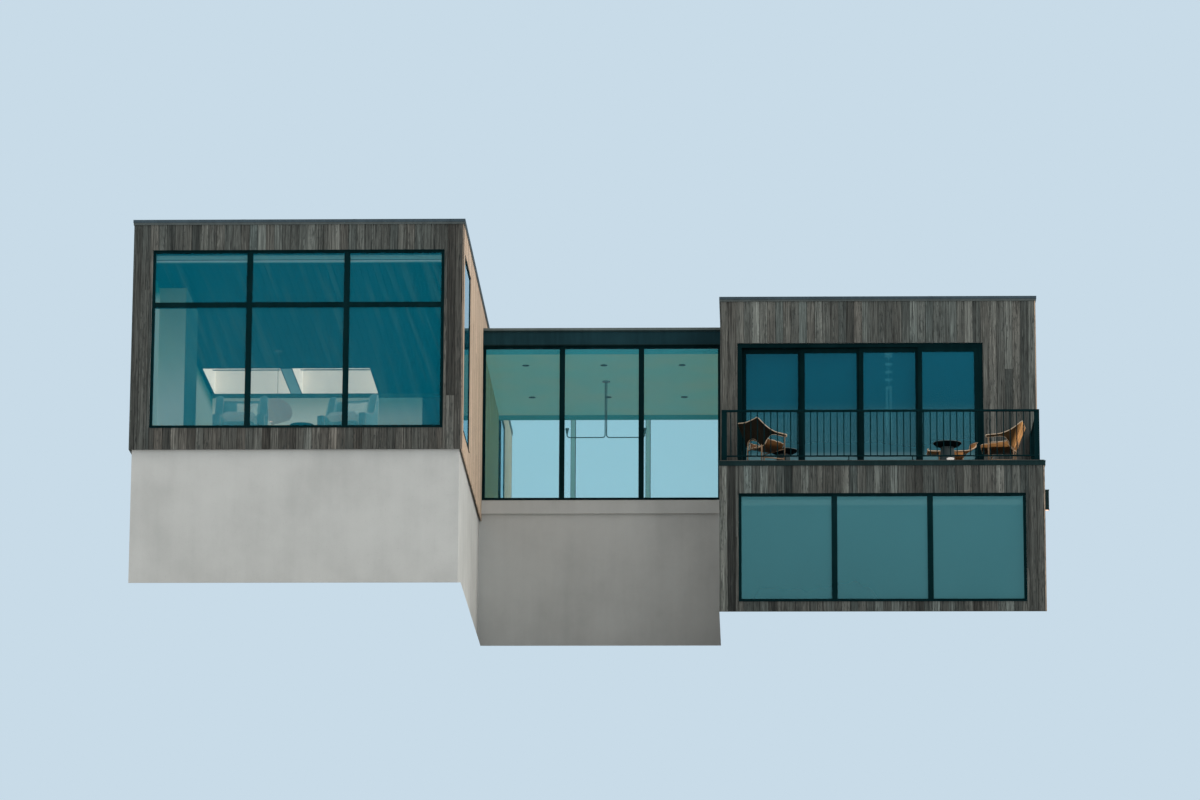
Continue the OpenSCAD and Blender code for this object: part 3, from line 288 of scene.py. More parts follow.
def make_planks(name, dark, pale):
    """Floor of long planks that run from front to back."""
    n = Nodes(name)
    turned = n.add("Mapping", {"Vector": n.place(), "Rotation": (0.0, 0.0, math.pi / 2)}).outputs[0]
    sizes = {"Scale": 1.0, "Mortar Size": 0.0015, "Brick Width": 2.2, "Row Height": 0.18}
    colours = {"Color1": dark, "Color2": pale, "Mortar": scaled(dark, 0.3)}
    planks = n.add("TexBrick", {"Vector": turned, **sizes, **colours}).outputs["Color"]
    fibre = n.noise((40.0, 2.5, 40.0), 5.0, 0.6, 0.5)
    colour = n.darken(planks, 0.55, fibre, (0.3, 0.55), (0.7, 1.0))
    return n.surface(colour, 0.55, n.bump(fibre, 0.15, 0.001), 0.3)


def make_glass(name, clear, share, veil, gloss=(0.75, 0.92, 0.95), side_gloss=None, streaks=0.0):
    """Tinted glazing: a clear part, a film that holds the tint and dust and a painted reflection of the sky,
    and gloss. veil is the film's colour, or a list of colours by height, side_gloss the gloss of the panes
    behind the front, streaks the strength of slanted strokes of painted reflection."""
    n = Nodes(name)
    if isinstance(veil, list):
        veil = n.by_height(veil)
    tint = n.mix(1.0, n.fade(n.noise((0.5, 0.5, 0.25)), 0.3, 0.7, (0.94,) * 3, (1.0,) * 3), veil, "MULTIPLY")
    if streaks:
        slanted = n.add("Mapping", {"Vector": n.place(), "Rotation": (0.0, math.radians(20), 0.0)}).outputs[0]
        drawn = n.add("Mapping", {"Vector": slanted, "Scale": (9.0, 0.1, 0.5)}).outputs[0]
        strokes = n.add("TexNoise", {"Vector": drawn, "Scale": 1.0, "Detail": 3.0}).outputs["Fac"]
        tint = n.mix(n.ramp(strokes, (0.5, 0.0), (0.72, streaks)), tint, (0.30, 0.95, 1.0))
    if side_gloss:
        gloss = n.mix(n.math("GREATER_THAN", n.along("Y"), LEFT_Y0 + 0.2), gloss, side_gloss)
    body = n.either(share, n.shader("BsdfTransparent", Color=clear), n.shader("BsdfDiffuse", Color=tint))
    mirror = n.shader("BsdfGlossy", Color=gloss, Roughness=0.02)
    return n.finish(n.either(n.shader("Fresnel", IOR=1.2), body, mirror))


def make_roofing(name, colour):
    """Mineral-faced roofing membrane with faint puddle marks."""
    n = Nodes(name)
    grit = n.noise(120.0, 3.0, 0.7)
    base = n.ramp(n.noise(0.5, 5.0, 0.6), (0.3, scaled(colour, 0.75)), (0.7, colour))
    base = n.darken(base, 0.35, grit, (0.35, 0.6), (0.65, 1.0))
    return n.surface(base, 0.9, n.bump(grit, 0.4, 0.002))


def make_lit(name, colour, glow, bump_scale=40.0, bump=0.1, shade_top=None):
    """A shade or lamp that glows softly from within, and is dark above shade_top."""
    n = Nodes(name)
    cloud = n.noise(bump_scale)
    base = n.mix(cloud, scaled(colour, 0.85), colour)
    if shade_top:
        above = n.math("GREATER_THAN", n.along("Z"), shade_top)
        base = n.mix(above, base, scaled(colour, 0.25))
        glow = n.mix(above, glow, scaled(glow, 0.1))
    return n.surface(base, 0.7, n.bump(cloud, bump, 0.002), glow=glow)


def make_leather(name, colour, pale, sunlit_colour, gloss):
    """Creased leather with a fine grain and rubbed high spots, and painted sunlight where the mesh says so."""
    n = Nodes(name)
    cells = n.add("TexVoronoi", {"Vector": n.place(190.0), "Scale": 1.0}).outputs["Distance"]
    folds = n.noise((7.0, 7.0, 2.5), 4.0, 0.6, 0.8)
    base = n.mix(n.of_face("tone"), n.fade(folds, 0.42, 0.68, colour, pale), sunlit_colour)
    creases = n.bump(n.math("MULTIPLY_ADD", cells, 0.5, folds), 0.35, 0.004)
    return n.surface(base, n.math("MULTIPLY_ADD", folds, 0.2, 0.42), creases, gloss)


def make_fabric(name, colour, glow):
    """Woven upholstery: crossed threads, soft clouds and a light sheen. It glows by a share of its colour:
    painted daylight of its room.
    """
    n = Nodes(name)
    thread = {"Vector": n.place(), "Scale": 150.0, "Distortion": 1.5}
    weave = n.math("ADD", *(n.add("TexWave", thread, bands_direction=way).outputs["Fac"] for way in "XZ"))
    base = n.fade(n.noise(5.0, 4.0), 0.35, 0.65, scaled(colour, 0.84), colour)
    woven = n.darken(base, 0.12, n.math("MULTIPLY", weave, 0.5), (0.2, 0.5), (0.7, 1.0))
    return n.surface(woven, 0.92, n.bump(weave, 0.25, 0.001), 0.1, base, glow, **{"Sheen Weight": 0.25})


BOARDS = make_boards("boards_weathered", (0.086, 0.104, 0.098), (0.112, 0.104, 0.090), 0.34)
BOARDS_SUN = make_boards("boards_sunlit", (0.45, 0.345, 0.262), (0.56, 0.41, 0.29), 0.15)
# Boards inside the link: a far paler, warmer copy of the boards, painted sunlight
LINK_BOARDS_SUNLIT = make_boards("boards_inside_sunlit", (0.72, 0.66, 0.36), (0.85, 0.66, 0.32), 0.3)
FRAME = make_metal("frame_metal", (0.0005, 0.0115, 0.0135), 0.55, 0.02)
FASCIA = make_metal("fascia_metal", (0.0070, 0.0310, 0.0390), 0.45, 0.06)
DECK_METAL = make_metal("deck_edge_metal", (0.0060, 0.0190, 0.0200), 0.5, 0.06)
CAP = make_metal("cap_slate", (0.035, 0.055, 0.068))
CAP_LOW = make_metal("cap_strip", (0.062, 0.074, 0.072))
LINK_CAP = make_metal("link_cap", (0.094, 0.117, 0.113), 0.45, 0.25)
LAMP_METAL = make_metal("lamp_metal", (0.075, 0.125, 0.13), 0.4, 0.3)
RUBBER = make_metal("gasket", (0.004, 0.008, 0.009), 0.8, 0.1)
TABLE_BLACK = make_metal("table_black", (0.0018, 0.0055, 0.0075), 0.6, 0.03)
TABLE_GREY = make_metal("table_grey", (0.050, 0.068, 0.070), 0.6, 0.1)
TABLE_TEAL = make_metal("table_teal", (0.11, 0.26, 0.24), 0.35, 0.3)
SPOT_DARK = make_metal("spot_dark", (0.02, 0.045, 0.045), 0.6, 0.1)
# Plasters glow as painted daylight of their place; glows by height also paint shade, fading towards the ceiling
PLASTER = make_plaster("plaster", (0.80, 0.81, 0.79), 0.02)
RETURN_PLASTER = make_plaster("return_plaster", (0.34, 0.34, 0.32), [
    (FLOOR_Z, (0.30, 0.38, 0.33)), (FLOOR_Z + 1.0, (0.26, 0.34, 0.29)),
    (FLOOR_Z + 2.1, (0.118, 0.204, 0.143)), (LEFT_CEILING, (0.025, 0.045, 0.0)),
])
# The side of the return wall: a dark copy of its plaster, painted shade
RETURN_SIDE_SHADE = make_plaster("return_side_shade", (0.06, 0.16, 0.15), 0.35)
SIDE_PLASTER = make_plaster("side_plaster", (0.14, 0.21, 0.20), [
    (FLOOR_Z, (0.28, 0.36, 0.29)), (FLOOR_Z + 3.2, (0.24, 0.32, 0.26)), (FLOOR_Z + 3.48, (0.0, 0.07, 0.04)),
    (LEFT_CEILING, (0.0, 0.05, 0.03)),
])
BACK_STOPS = (FLOOR_Z, FLOOR_Z + 3.1, FLOOR_Z + 3.5)
BACK_PALE = make_plaster("back_pale", (0.34, 0.36, 0.34), [
    *zip(BACK_STOPS, ((0.45, 0.5, 0.42), (0.44, 0.49, 0.40), (0.24, 0.30, 0.23)))
])
BACK_MIDDLE = make_plaster("back_middle", (0.14, 0.17, 0.15), [
    *zip(BACK_STOPS, ((0.25, 0.3, 0.26), (0.22, 0.28, 0.235), (0.09, 0.18, 0.15)))
])
BACK_DARK = make_plaster("back_dark", (0.03, 0.04, 0.04), 0.3)
BLIND = make_plaster("blind_white", (0.26, 0.42, 0.36), 0.28)
BLIND_PALE = make_plaster("blind_pale", (0.50, 0.60, 0.54), 0.25)
LINK_PLASTER = make_plaster("link_plaster", (0.235, 0.47, 0.41), 0.28, (0.30, 0.46, 0.375))
RECESS_BLUE = make_plaster("recess_blue", (0.10, 0.42, 0.46), 0.35)
# A darker copy of the recess plaster: a painted shadow line along the blind recess
RECESS_SHADOW = make_plaster("recess_shadow", (0.06, 0.34, 0.37), 0.2)
LINING_PALE = make_plaster("lining_pale", (0.42, 0.66, 0.68), 0.2)
# The bowl glows: painted light against the railing's shade that falls on it
BOWL_WHITE = make_plaster("bowl_white", (0.92, 0.86, 0.80), 0.35)
DIVIDER = make_plaster("shaft_divider", (0.24, 0.40, 0.42), 0.5)
HEAD_BLUE = make_plaster("head_blue", (0.05, 0.28, 0.30), 0.2)
SHAFT_WHITE = make_plaster("shaft_white", (0.85, 0.80, 0.70), 0.75)
SHAFT_BRIGHT = make_plaster("shaft_bright", (0.95, 0.88, 0.76), 1.1)
CONCRETE = make_concrete("concrete", (0.50, 0.50, 0.48))
ROOFING = make_roofing("roofing", (0.24, 0.245, 0.245))
SEAM = make_roofing("roofing_seam", (0.20, 0.205, 0.205))
FLOOR_WOOD = make_planks("floor_oak", (0.30, 0.21, 0.13), (0.42, 0.31, 0.20))
DEPTHWISE, UPWARDS, LENGTHWISE = (40.0, 1.2, 40.0), (60.0, 60.0, 8.0), (12.0, 60.0, 60.0)
DECK_WOOD = make_wood("deck_wood", (0.045, 0.045, 0.040), (0.10, 0.095, 0.085), (2.5, 70.0, 70.0), 0.2)
CEILING_WOOD = make_wood("ceiling_wood", (0.001, 0.008, 0.010), (0.005, 0.021, 0.025), DEPTHWISE, 0.02)
# A lit copy of the ceiling wood: painted light on the ceiling behind the rooflights
CEILING_LIT = make_wood("ceiling_end_wood_lit", (0.045, 0.095, 0.080), (0.080, 0.150, 0.125), DEPTHWISE, 0.1)
TAN_WOOD = make_wood("tan_wood", (0.33, 0.135, 0.037), (0.56, 0.255, 0.078), LENGTHWISE, 0.3)
PALE_WOOD = make_wood("pale_wood", (0.50, 0.36, 0.235), (0.80, 0.62, 0.44), LENGTHWISE, 0.2)
LEG_WOOD = make_wood("leg_wood", (0.22, 0.135, 0.08), (0.40, 0.26, 0.155), UPWARDS, 0.2)
# Both chairs have one leather: the left one's is a dark copy in painted shade, the right one's a lit copy whose
# palest colour is painted sunlight
SHADED_BROWNS = (0.006, 0.0055, 0.0035), (0.011, 0.009, 0.006), (0.018, 0.014, 0.009)
SUNLIT_TANS = (0.045, 0.022, 0.006), (0.075, 0.036, 0.010), (0.80, 0.38, 0.13)
LEATHER_SHADED = make_leather("leather_shaded", *SHADED_BROWNS, 0.05)
LEATHER_SUNLIT = make_leather("leather_sunlit", *SUNLIT_TANS, 0.1)
FABRIC = make_fabric("fabric_pale", (0.42, 0.50, 0.43), 0.85)
SEAT_FABRIC = make_fabric("fabric_seat", (0.40, 0.50, 0.44), 0.5)
FABRIC_BLUE = make_fabric("fabric_blue", (0.15, 0.30, 0.29), 0.45)
GLASS_LEFT = make_glass(
    "glass_left", (0.736, 0.736, 0.736), 0.12, (0.0, 0.577, 0.833), (0.05, 0.75, 0.9), (0.75, 0.9, 1.0), 0.28
)
GLASS_LINK = make_glass("glass_link", (0.88, 0.97, 0.976), 0.06, (0.11, 0.65, 0.86))
# By height, the right wing's glass film is a painted reflection, palest low on the doors, and darker above
# where sheer blinds hang behind
GLASS_RIGHT = make_glass("glass_right", (0.55, 0.6, 0.6), 0.4, [
    (0.0, (0.11, 0.375, 0.43)), (FLOOR_Z - 0.6, (0.12, 0.41, 0.47)), (FLOOR_Z + 0.5, (0.33, 0.69, 0.76)),
    (FLOOR_Z + 0.68, (0.30, 0.62, 0.70)), (FLOOR_Z + 0.78, (0.095, 0.38, 0.48)),
    (FLOOR_Z + 1.55, (0.060, 0.325, 0.43)), (FLOOR_Z + 1.85, (0.006, 0.235, 0.36)),
    (8.0, (0.004, 0.22, 0.35)),
])
GLASS_ROOF = make_glass("glass_roof", (0.5, 0.56, 0.56), 0.1, (0.3, 0.5, 0.55))
WOVEN = make_lit("woven_shade", (0.22, 0.21, 0.19), (0.27, 0.26, 0.21), 60.0, 0.6, LEFT_CEILING - 1.05)
BULB = make_lit("bulb", (0.9, 0.75, 0.6), (1.0, 0.55, 0.40))
GLASS_ROD = make_lit("glass_rods", (0.55, 0.7, 0.7), (0.10, 0.27, 0.30))


def add_mesh(name, verts, faces, material, values=None, smooth=False):
    """A mesh object that rides on the house. values holds a number or a vector for each face, by name."""
    mesh = bpy.data.meshes.new(name)
    mesh.from_pydata(verts, [], faces)
    for key, given in (values or {}).items():
        if isinstance(given[0], tuple):
            layer = mesh.attributes.new(key, "FLOAT_VECTOR", "FACE")
            layer.data.foreach_set("vector", [c for vector in given for c in vector])
        else:
            mesh.attributes.new(key, "FLOAT", "FACE").data.foreach_set("value", given)
    mesh.polygons.foreach_set("use_smooth", [smooth] * len(mesh.polygons))
    mesh.materials.append(material)
    obj = bpy.data.objects.new(name, mesh)
    scene.collection.objects.link(obj)
    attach(obj, "root")
    return obj


# How the faces of walls run and which way they look, by the side that they are on
FACE_WAYS = {
    "front": ((1, 0, 0), (0, -1, 0)), "back": ((1, 0, 0), (0, 1, 0)),
    "left": ((0, 1, 0), (-1, 0, 0)), "right": ((0, 1, 0), (1, 0, 0)),
}


class Face:
    """A face of a wall: points are given by the distance along it, the distance out of it and the height."""

    def __init__(self, way, x, y):
        self.corner = Vector((x, y, 0))
        self.along, self.out = (Vector(v) for v in FACE_WAYS[way])

    def at(self, a, o, z):
        p = self.corner + self.along * a + self.out * o
        return (p.x, p.y, z)

    def shifts(self, corners):
        """Offsets in plan of (along, out) pairs, turned so that their prism faces outwards."""
        points = [tuple(self.along * a + self.out * o) for a, o in corners]
        return points[::-1] if self.along.cross(self.out).z < 0 else points


def circle(sides):
    """Cosine and sine of the turns to the corners of a circle."""
    return [(math.cos(2 * math.pi * k / sides), math.sin(2 * math.pi * k / sides)) for k in range(sides)]


# The look of a face without a tone of its own
PLAIN = (1.0, 0.0, (0.0, 0.0, 0.0))


class Pile:
    """Collects many small solids into one mesh. A look is the tone, tint and shift of a solid's faces."""

    def __init__(self):
        self.verts, self.faces, self.looks = [], [], []

    def add_faces(self, faces, look=PLAIN):
        self.faces += faces
        self.looks += [look] * len(faces)

    def skin(self, rings, look=PLAIN, closed=False):
        """A solid through rings of as many points each; its ends are capped unless it is closed."""
        base, rows, sides = len(self.verts), len(rings), len(rings[0])
        self.verts += [tuple(p) for ring in rings for p in ring]
        faces = []
        for i in range(rows if closed else rows - 1):
            a, b = base + i * sides, base + (i + 1) % rows * sides
            faces += [(a + k, a + (k + 1) % sides, b + (k + 1) % sides, b + k) for k in range(sides)]
        if not closed:
            faces.append(tuple(base + k for k in reversed(range(sides))))
            faces.append(tuple(base + (rows - 1) * sides + k for k in range(sides)))
        self.add_faces(faces, look)

    def prism(self, outline, start, end, look=PLAIN):
        """A solid swept straight from start to end; outline lists its corners as offsets."""
        self.skin([[Vector(point) + Vector(o) for o in outline] for point in (start, end)], look)

    def block(self, a, b):
        """A block between two corners, its upright edges eased a little."""
        dx, dy = b[0] - a[0], b[1] - a[1]
        e = min(0.002, dx / 4, dy / 4)
        outline = [(e, 0), (dx - e, 0), (dx, e), (dx, dy - e), (dx - e, dy), (e, dy), (0, dy - e), (0, e)]
        self.prism([(x, y, 0) for x, y in outline], a, (a[0], a[1], b[2]))

    def slab(self, face, a0, a1, o0, o1, z0, z1):
        """A block on a wall face, between two distances along it, two out of it and two heights."""
        p, q = face.at(a0, o0, z0), face.at(a1, o1, z1)
        self.block([min(c) for c in zip(p, q)], [max(c) for c in zip(p, q)])

    def tube(self, points, radius, sides=10, closed=False):
        """A round tube along a line of points."""
        points = [Vector(p) for p in points]
        count, side, rings = len(points), None, []
        for i, p in enumerate(points):
            after = points[(i + 1) % count] if closed or i < count - 1 else p
            before = points[i - 1] if closed or i else p
            ahead = (after - before).normalized()
            side = ahead.orthogonal() if side is None else side - ahead * side.dot(ahead)
            side.normalize()
            up = ahead.cross(side)
            rings.append([p + (side * c + up * s) * radius for c, s in circle(sides)])
        self.skin(rings, PLAIN, closed)

    def revolve(self, centre, profile, sides=48):
        """A turned shape from (radius, height) points, lowest first."""
        x, y, z = centre
        self.skin([[(x + r * c, y + r * s, z + h) for c, s in circle(sides)] for r, h in profile])

    def make(self, name, material, slot="dark_metal", smooth=False):
        tones, tints, shifts = zip(*self.looks)
        values = {"tone": tones, "tint": tints, "shift": shifts}
        return add_mesh(name, self.verts, self.faces, material, values, smooth)


def blocks(name, material, slot, *corners):
    """A piece made of blocks, each given by its two corners."""
    pile = Pile()
    for a, b in corners:
        pile.block(a, b)
    pile.make(name, material, slot)


def free_spans(start, end, cuts):
    """What is left of a span once the cuts are taken out of it."""
    spans = [(start, end)]
    for c0, c1 in cuts:
        pieces = [piece for s0, s1 in spans for piece in ((s0, min(s1, c0)), (max(s0, c1), s1))]
        spans = [piece for piece in pieces if piece[1] - piece[0] > 1e-4]
    return spans


def board_section(width, thickness):
    """Section of a board: grooved along both sides in front of its tongue, with eased edges."""
    g, e, back = min(GROOVE, width / 6), min(0.003, width / 6), thickness - GROOVE_D
    return [
        (0, 0), (width, 0), (width, back), (width - g, back), (width - g, thickness - e),
        (width - g - e, thickness), (g + e, thickness), (g, thickness - e), (g, back), (0, back),
    ]


def board_look(spread, level):
    """Tone, tint and shift of one board. A few boards are paler than the rest."""
    tone = level * math.exp(rng.gauss(0.0, spread))
    if rng.random() < PALE_CHANCE:
        tone *= PALE_TONE
    shift = (rng.uniform(0, 90), rng.uniform(0, 90), rng.uniform(0, 90))
    return min(tone, TONE_LIMIT * level), rng.gauss(0.45, 0.17), shift


def clad(name, material, face, length, bottom, top, openings, level=0.9, spread=0.24, bands=(), foot=(1, 0)):
    """Upright boards over one face of a wall, cut round its openings, some with a butt joint. bands change
    the tone of boards between two distances along the face, foot the tone and tint of the lowest ones."""
    pile = Pile()
    count = max(1, round(length / BOARD_PITCH))
    pitch = length / count
    for i in range(count):
        a0, a1 = i * pitch, (i + 1) * pitch
        here = level * math.prod(factor for b0, b1, factor in bands if b0 < (a0 + a1) / 2 < b1)
        looks = [board_look(spread, here), board_look(spread, here)]
        jointed = rng.random() < JOINT_CHANCE and top - bottom > JOINT_WALL_H
        joint = rng.uniform(bottom + JOINT_MARGIN, top - JOINT_MARGIN) if jointed else top + 1
        thick = BOARD_T + rng.uniform(-BOARD_T_SPREAD, BOARD_T_SPREAD)
        edges = sorted({a0, a1, *(e for o in openings for e in o[:2] if a0 < e < a1)})
        for b0, b1 in zip(edges, edges[1:]):
            if b1 - b0 < NARROWEST:
                continue
            cuts = [(o[2], o[3]) for o in openings if o[0] < (b0 + b1) / 2 < o[1]]
            for z0, z1 in free_spans(bottom, top, cuts + [(joint - 0.001, joint + 0.001)]):
                tone, tint, shift = looks[0 if z0 < joint else 1]
                if z1 < bottom + FOOT_BOARD_H:
                    tone, tint = tone * foot[0], tint + foot[1]
                ends = [face.at(b0, -BOARD_SPACE, z) for z in (z0, z1)]
                pile.prism(face.shifts(board_section(b1 - b0, thick)), *ends, (tone, tint, shift))
    pile.make(name, material, "boards")


# Outer faces of the walls. Side faces are measured from the left wing's front
LEFT_FRONT, LEFT_BACK = Face("front", LEFT_X0, LEFT_Y0), Face("back", LEFT_X0, LEFT_Y1)
LEFT_OUTER, LEFT_INNER = Face("left", LEFT_X0, LEFT_Y0), Face("right", LEFT_X1, LEFT_Y0)
LINK_FRONT, LINK_BACK = Face("front", LEFT_X1, LINK_Y0), Face("back", LEFT_X1, LINK_Y1)
RIGHT_FRONT, RIGHT_BACK = Face("front", RIGHT_X0, RIGHT_Y0), Face("back", RIGHT_X0, RIGHT_Y1)
RIGHT_UPPER = Face("front", RIGHT_X0, UPPER_Y0)
RIGHT_INNER, RIGHT_OUTER = Face("left", RIGHT_X0, LEFT_Y0), Face("right", RIGHT_X1, LEFT_Y0)

# Windows: face, start along it, sill, width, height, panes, whether there is a transom
LEFT_H = high("left_front_window").z - FLOOR_Z
LOWER = (LOWER_SILL, LOWER_HEAD - LOWER_SILL)
UPPER = (FLOOR_Z, DOOR_HEAD - FLOOR_Z)
WINDOWS = [
    *[(face, FRONT_MARGIN, FLOOR_Z, LEFT_H, BIG_WINDOW_W, 3, True) for face in (LEFT_FRONT, LEFT_BACK)],
    (LINK_FRONT, 0.0, FLOOR_Z, LINK_HEAD - FLOOR_Z, LINK_W, 3, False),
    (LINK_BACK, 0.0, FLOOR_Z, LINK_BACK_HEAD - FLOOR_Z, LINK_W, 3, False),
    *[(face, FRONT_MARGIN, *LOWER, BIG_WINDOW_W, 3, False) for face in (RIGHT_FRONT, RIGHT_BACK)],
    (RIGHT_BACK, FRONT_MARGIN, *UPPER, BIG_WINDOW_W, 3, False),
    *[
        (face, SIDE_WINDOW_Y[1], *row, SIDE_WINDOW_W, 1, False)
        for face in (RIGHT_INNER, RIGHT_OUTER) for row in (LOWER, UPPER)
    ],
    *[
        (face, start, FLOOR_Z, LEFT_H, SIDE_WINDOW_W, 1, False)
        for start in SIDE_WINDOW_Y for face in (LEFT_OUTER, LEFT_INNER)
    ],
]


def openings_on(face):
    """Openings of the windows on a face, as (start, end, lowest, highest)."""
    return [(a, a + w, z, z + h) for f, a, z, h, w, _, _ in WINDOWS if f is face]


# Upright boards
LEFT_D, UPPER_D = LEFT_Y1 - LEFT_Y0, RIGHT_Y1 - UPPER_Y0
left_top, right_top = LEFT_TOP - COPING_H, RIGHT_TOP - COPING_H
skirt, deck = FLOOR_Z - SKIRT_H, FLOOR_Z - DECK_EDGE_H
right_start, upper_start, right_end, link_start, link_end = (
    y - LEFT_Y0 for y in (RIGHT_Y0, UPPER_Y0, RIGHT_Y1, LINK_Y0, LINK_Y1)
)
link_cut = [(link_start, link_end, FLOOR_Z - 0.3, FLOOR_Z), (link_start, link_end, LINK_CEILING, LINK_TOP)]
ends = [(0.0, right_start, -1.0, 9.0), (0.0, upper_start, deck, 9.0)]
left_jambs = [(0.0, FRONT_MARGIN, 0.75), (WING_W - FRONT_MARGIN, WING_W, 0.86)]
right_jambs = [(0.0, FRONT_MARGIN, 0.83), (WING_W - FRONT_MARGIN, WING_W, 0.97)]
door_a, door_b = low("balcony_doors").x - RIGHT_X0, high("balcony_doors").x - RIGHT_X0
doors = [(door_a, door_b, FLOOR_Z, DOOR_HEAD)]
for label, material, face, length, bottom, top, more, *look in (
    ("left_front", BOARDS, LEFT_FRONT, WING_W, skirt, left_top, [], 0.84, 0.27, left_jambs, (0.86, 0.35)),
    ("left_back", BOARDS, LEFT_BACK, WING_W, skirt, left_top, []),
    ("left_outer", BOARDS, LEFT_OUTER, LEFT_D, skirt, left_top, []),
    ("left_inner", BOARDS_SUN, LEFT_INNER, LEFT_D, skirt, left_top, link_cut, 1.0, 0.09),
    # The lower front's boards take a low tone: painted shade under the balcony's edge
    ("right_lower_front", BOARDS, RIGHT_FRONT, WING_W, 0.0, deck, [], 0.70, 0.42),
    ("right_upper_front", BOARDS, RIGHT_UPPER, WING_W, FLOOR_Z, right_top, doors, 1.02, 0.24, right_jambs),
    ("right_back", BOARDS, RIGHT_BACK, WING_W, 0.0, right_top, []),
    ("right_outer", BOARDS_SUN, RIGHT_OUTER, right_end, 0.0, right_top, ends, 1.0, 0.09),
    ("right_inner", BOARDS, RIGHT_INNER, right_end, 0.0, right_top, ends + link_cut),
):
    clad(label + "_boards", material, face, length, bottom, top, openings_on(face) + more, *look)


def frame_strips(pile, face, a0, a1, z0, z1, width, o0, o1):
    """Four strips round the inside of a rectangle on a face."""
    pile.slab(face, a0, a0 + width, o0, o1, z0, z1)
    pile.slab(face, a1 - width, a1, o0, o1, z0, z1)
    pile.slab(face, a0 + width, a1 - width, o0, o1, z0, z0 + width)
    pile.slab(face, a0 + width, a1 - width, o0, o1, z1 - width, z1)


# Glazing beads inside and outside, the gasket round each pane, and sill and head flashings
BEAD, GASKET, GASKET_T, BACK_BEAD_IN = 0.004, 0.003, 0.005, 0.01
SILL_T, SILL_OUT, HEAD_T, FLASHING_GAP, FLASHING_BACK = 0.014, 0.012, 0.008, 0.003, 0.002
beads, gaskets, sills = Pile(), Pile(), Pile()
for face, a, z, h, w, panes, transom in WINDOWS:
    reveal = SIDE_REVEAL if face in (LEFT_OUTER, LEFT_INNER) else REVEAL
    pane_w = (w - 2 * BAR - (panes - 1) * MULLION) / panes
    glass_out = -reveal - GLASS_BACK
    rows = [(z + BAR, z + h - BAR)]
    if transom:
        rows = [(z + BAR, z + TRANSOM_Z - TRANSOM_H / 2), (z + TRANSOM_Z + TRANSOM_H / 2, z + h - BAR)]
    for i in range(panes):
        a0 = a + BAR + i * (pane_w + MULLION)
        for z0, z1 in rows:
            pane = (a0, a0 + pane_w, z0, z1)
            frame_strips(beads, face, *pane, BEAD, glass_out, -reveal - BEAD)
            frame_strips(beads, face, *pane, BEAD, -reveal - FRAME_D + BACK_BEAD_IN, glass_out - GLASS_T)
            inner = (a0 + BEAD, a0 + pane_w - BEAD, z0 + BEAD, z1 - BEAD)
            frame_strips(gaskets, face, *inner, GASKET, glass_out, glass_out + GASKET_T)
    across = (a + FLASHING_GAP, a + w - FLASHING_GAP, -reveal - FLASHING_BACK)
    sills.slab(face, *across, BOARD_T - BOARD_SPACE + SILL_OUT, z, z + SILL_T)
    sills.slab(face, *across, 0.002, z + h - HEAD_T, z + h)
beads.make("glazing_beads", FRAME)
gaskets.make("glass_gaskets", RUBBER)
sills.make("window_flashings", FRAME)

# Pulls and track covers of the balcony doors
PULL_Z, PULL_H, PULL_OUT, PULL_R = FLOOR_Z + 0.85, 0.32, 0.03, 0.007
COVER_BACK, COVER_FRONT, COVER_H, LEAF_GAP = 0.004, 0.001, 0.006, 0.003
leaf_w = (door_b - door_a - 2 * DOOR_FRAME - 2 * LEAF_GAP + (LEAVES - 1) * OVERLAP) / LEAVES
pulls, tracks = Pile(), Pile()
for i in range(LEAVES):
    a = door_a + DOOR_FRAME + LEAF_GAP + i * (leaf_w - OVERLAP) + (STILE / 2 if i % 2 else leaf_w - STILE / 2)
    o = -REVEAL - TRACK_GAP - (LEAVES - 1 - i) * (LEAF_T + TRACK_GAP)
    line = ((o, PULL_Z), (o + PULL_OUT, PULL_Z), (o + PULL_OUT, PULL_Z + PULL_H), (o, PULL_Z + PULL_H))
    pulls.tube([RIGHT_UPPER.at(a, out, z) for out, z in line], PULL_R)
for i in range(LEAVES + 1):
    o = -REVEAL - i * (LEAF_T + TRACK_GAP)
    across = (door_a + DOOR_FRAME, door_b - DOOR_FRAME, o - COVER_BACK, o - COVER_FRONT)
    for z in (FLOOR_Z + DOOR_FRAME - COVER_H, DOOR_HEAD - DOOR_FRAME):
        tracks.slab(RIGHT_UPPER, *across, z, z + COVER_H)
pulls.make("door_pulls", FRAME)
tracks.make("door_tracks", FRAME)

# Folded caps over the parapets, in lengths with a small joint between them
CAP_T, CAP_L, CAP_H, CAP_JOINT, CAP_LAP, SHEET_T = 0.008, 2.4, 0.055, 0.003, 0.04, 0.004
caps = Pile()
for top, faces in (
    (LEFT_TOP, ((LEFT_FRONT, WING_W), (LEFT_BACK, WING_W), (LEFT_OUTER, LEFT_D), (LEFT_INNER, LEFT_D))),
    (RIGHT_TOP, (
        (RIGHT_UPPER, WING_W), (RIGHT_BACK, WING_W),
        (Face("left", RIGHT_X0, UPPER_Y0), UPPER_D), (Face("right", RIGHT_X1, UPPER_Y0), UPPER_D),
    )),
):
    over = COPING_OVER + CAP_T
    for face, length in faces:
        count = max(1, round(length / CAP_L))
        step = (length + 2 * over) / count
        for i in range(count):
            a0, a1 = -over + i * step + CAP_JOINT / 2, -over + (i + 1) * step - CAP_JOINT / 2
            caps.slab(face, a0, a1, COPING_OVER, over, top - CAP_H, top + SHEET_T)
            caps.slab(face, a0, a1, -WALL_T - COPING_OVER, COPING_OVER, top, top + SHEET_T)
            if i < count - 1:
                z0, z1 = top - CAP_H + 0.002, top + SHEET_T + 0.001
                caps.slab(face, a1 - CAP_LAP, a1 + CAP_LAP, over, over + 0.001, z0, z1)
caps.make("parapet_caps", CAP)

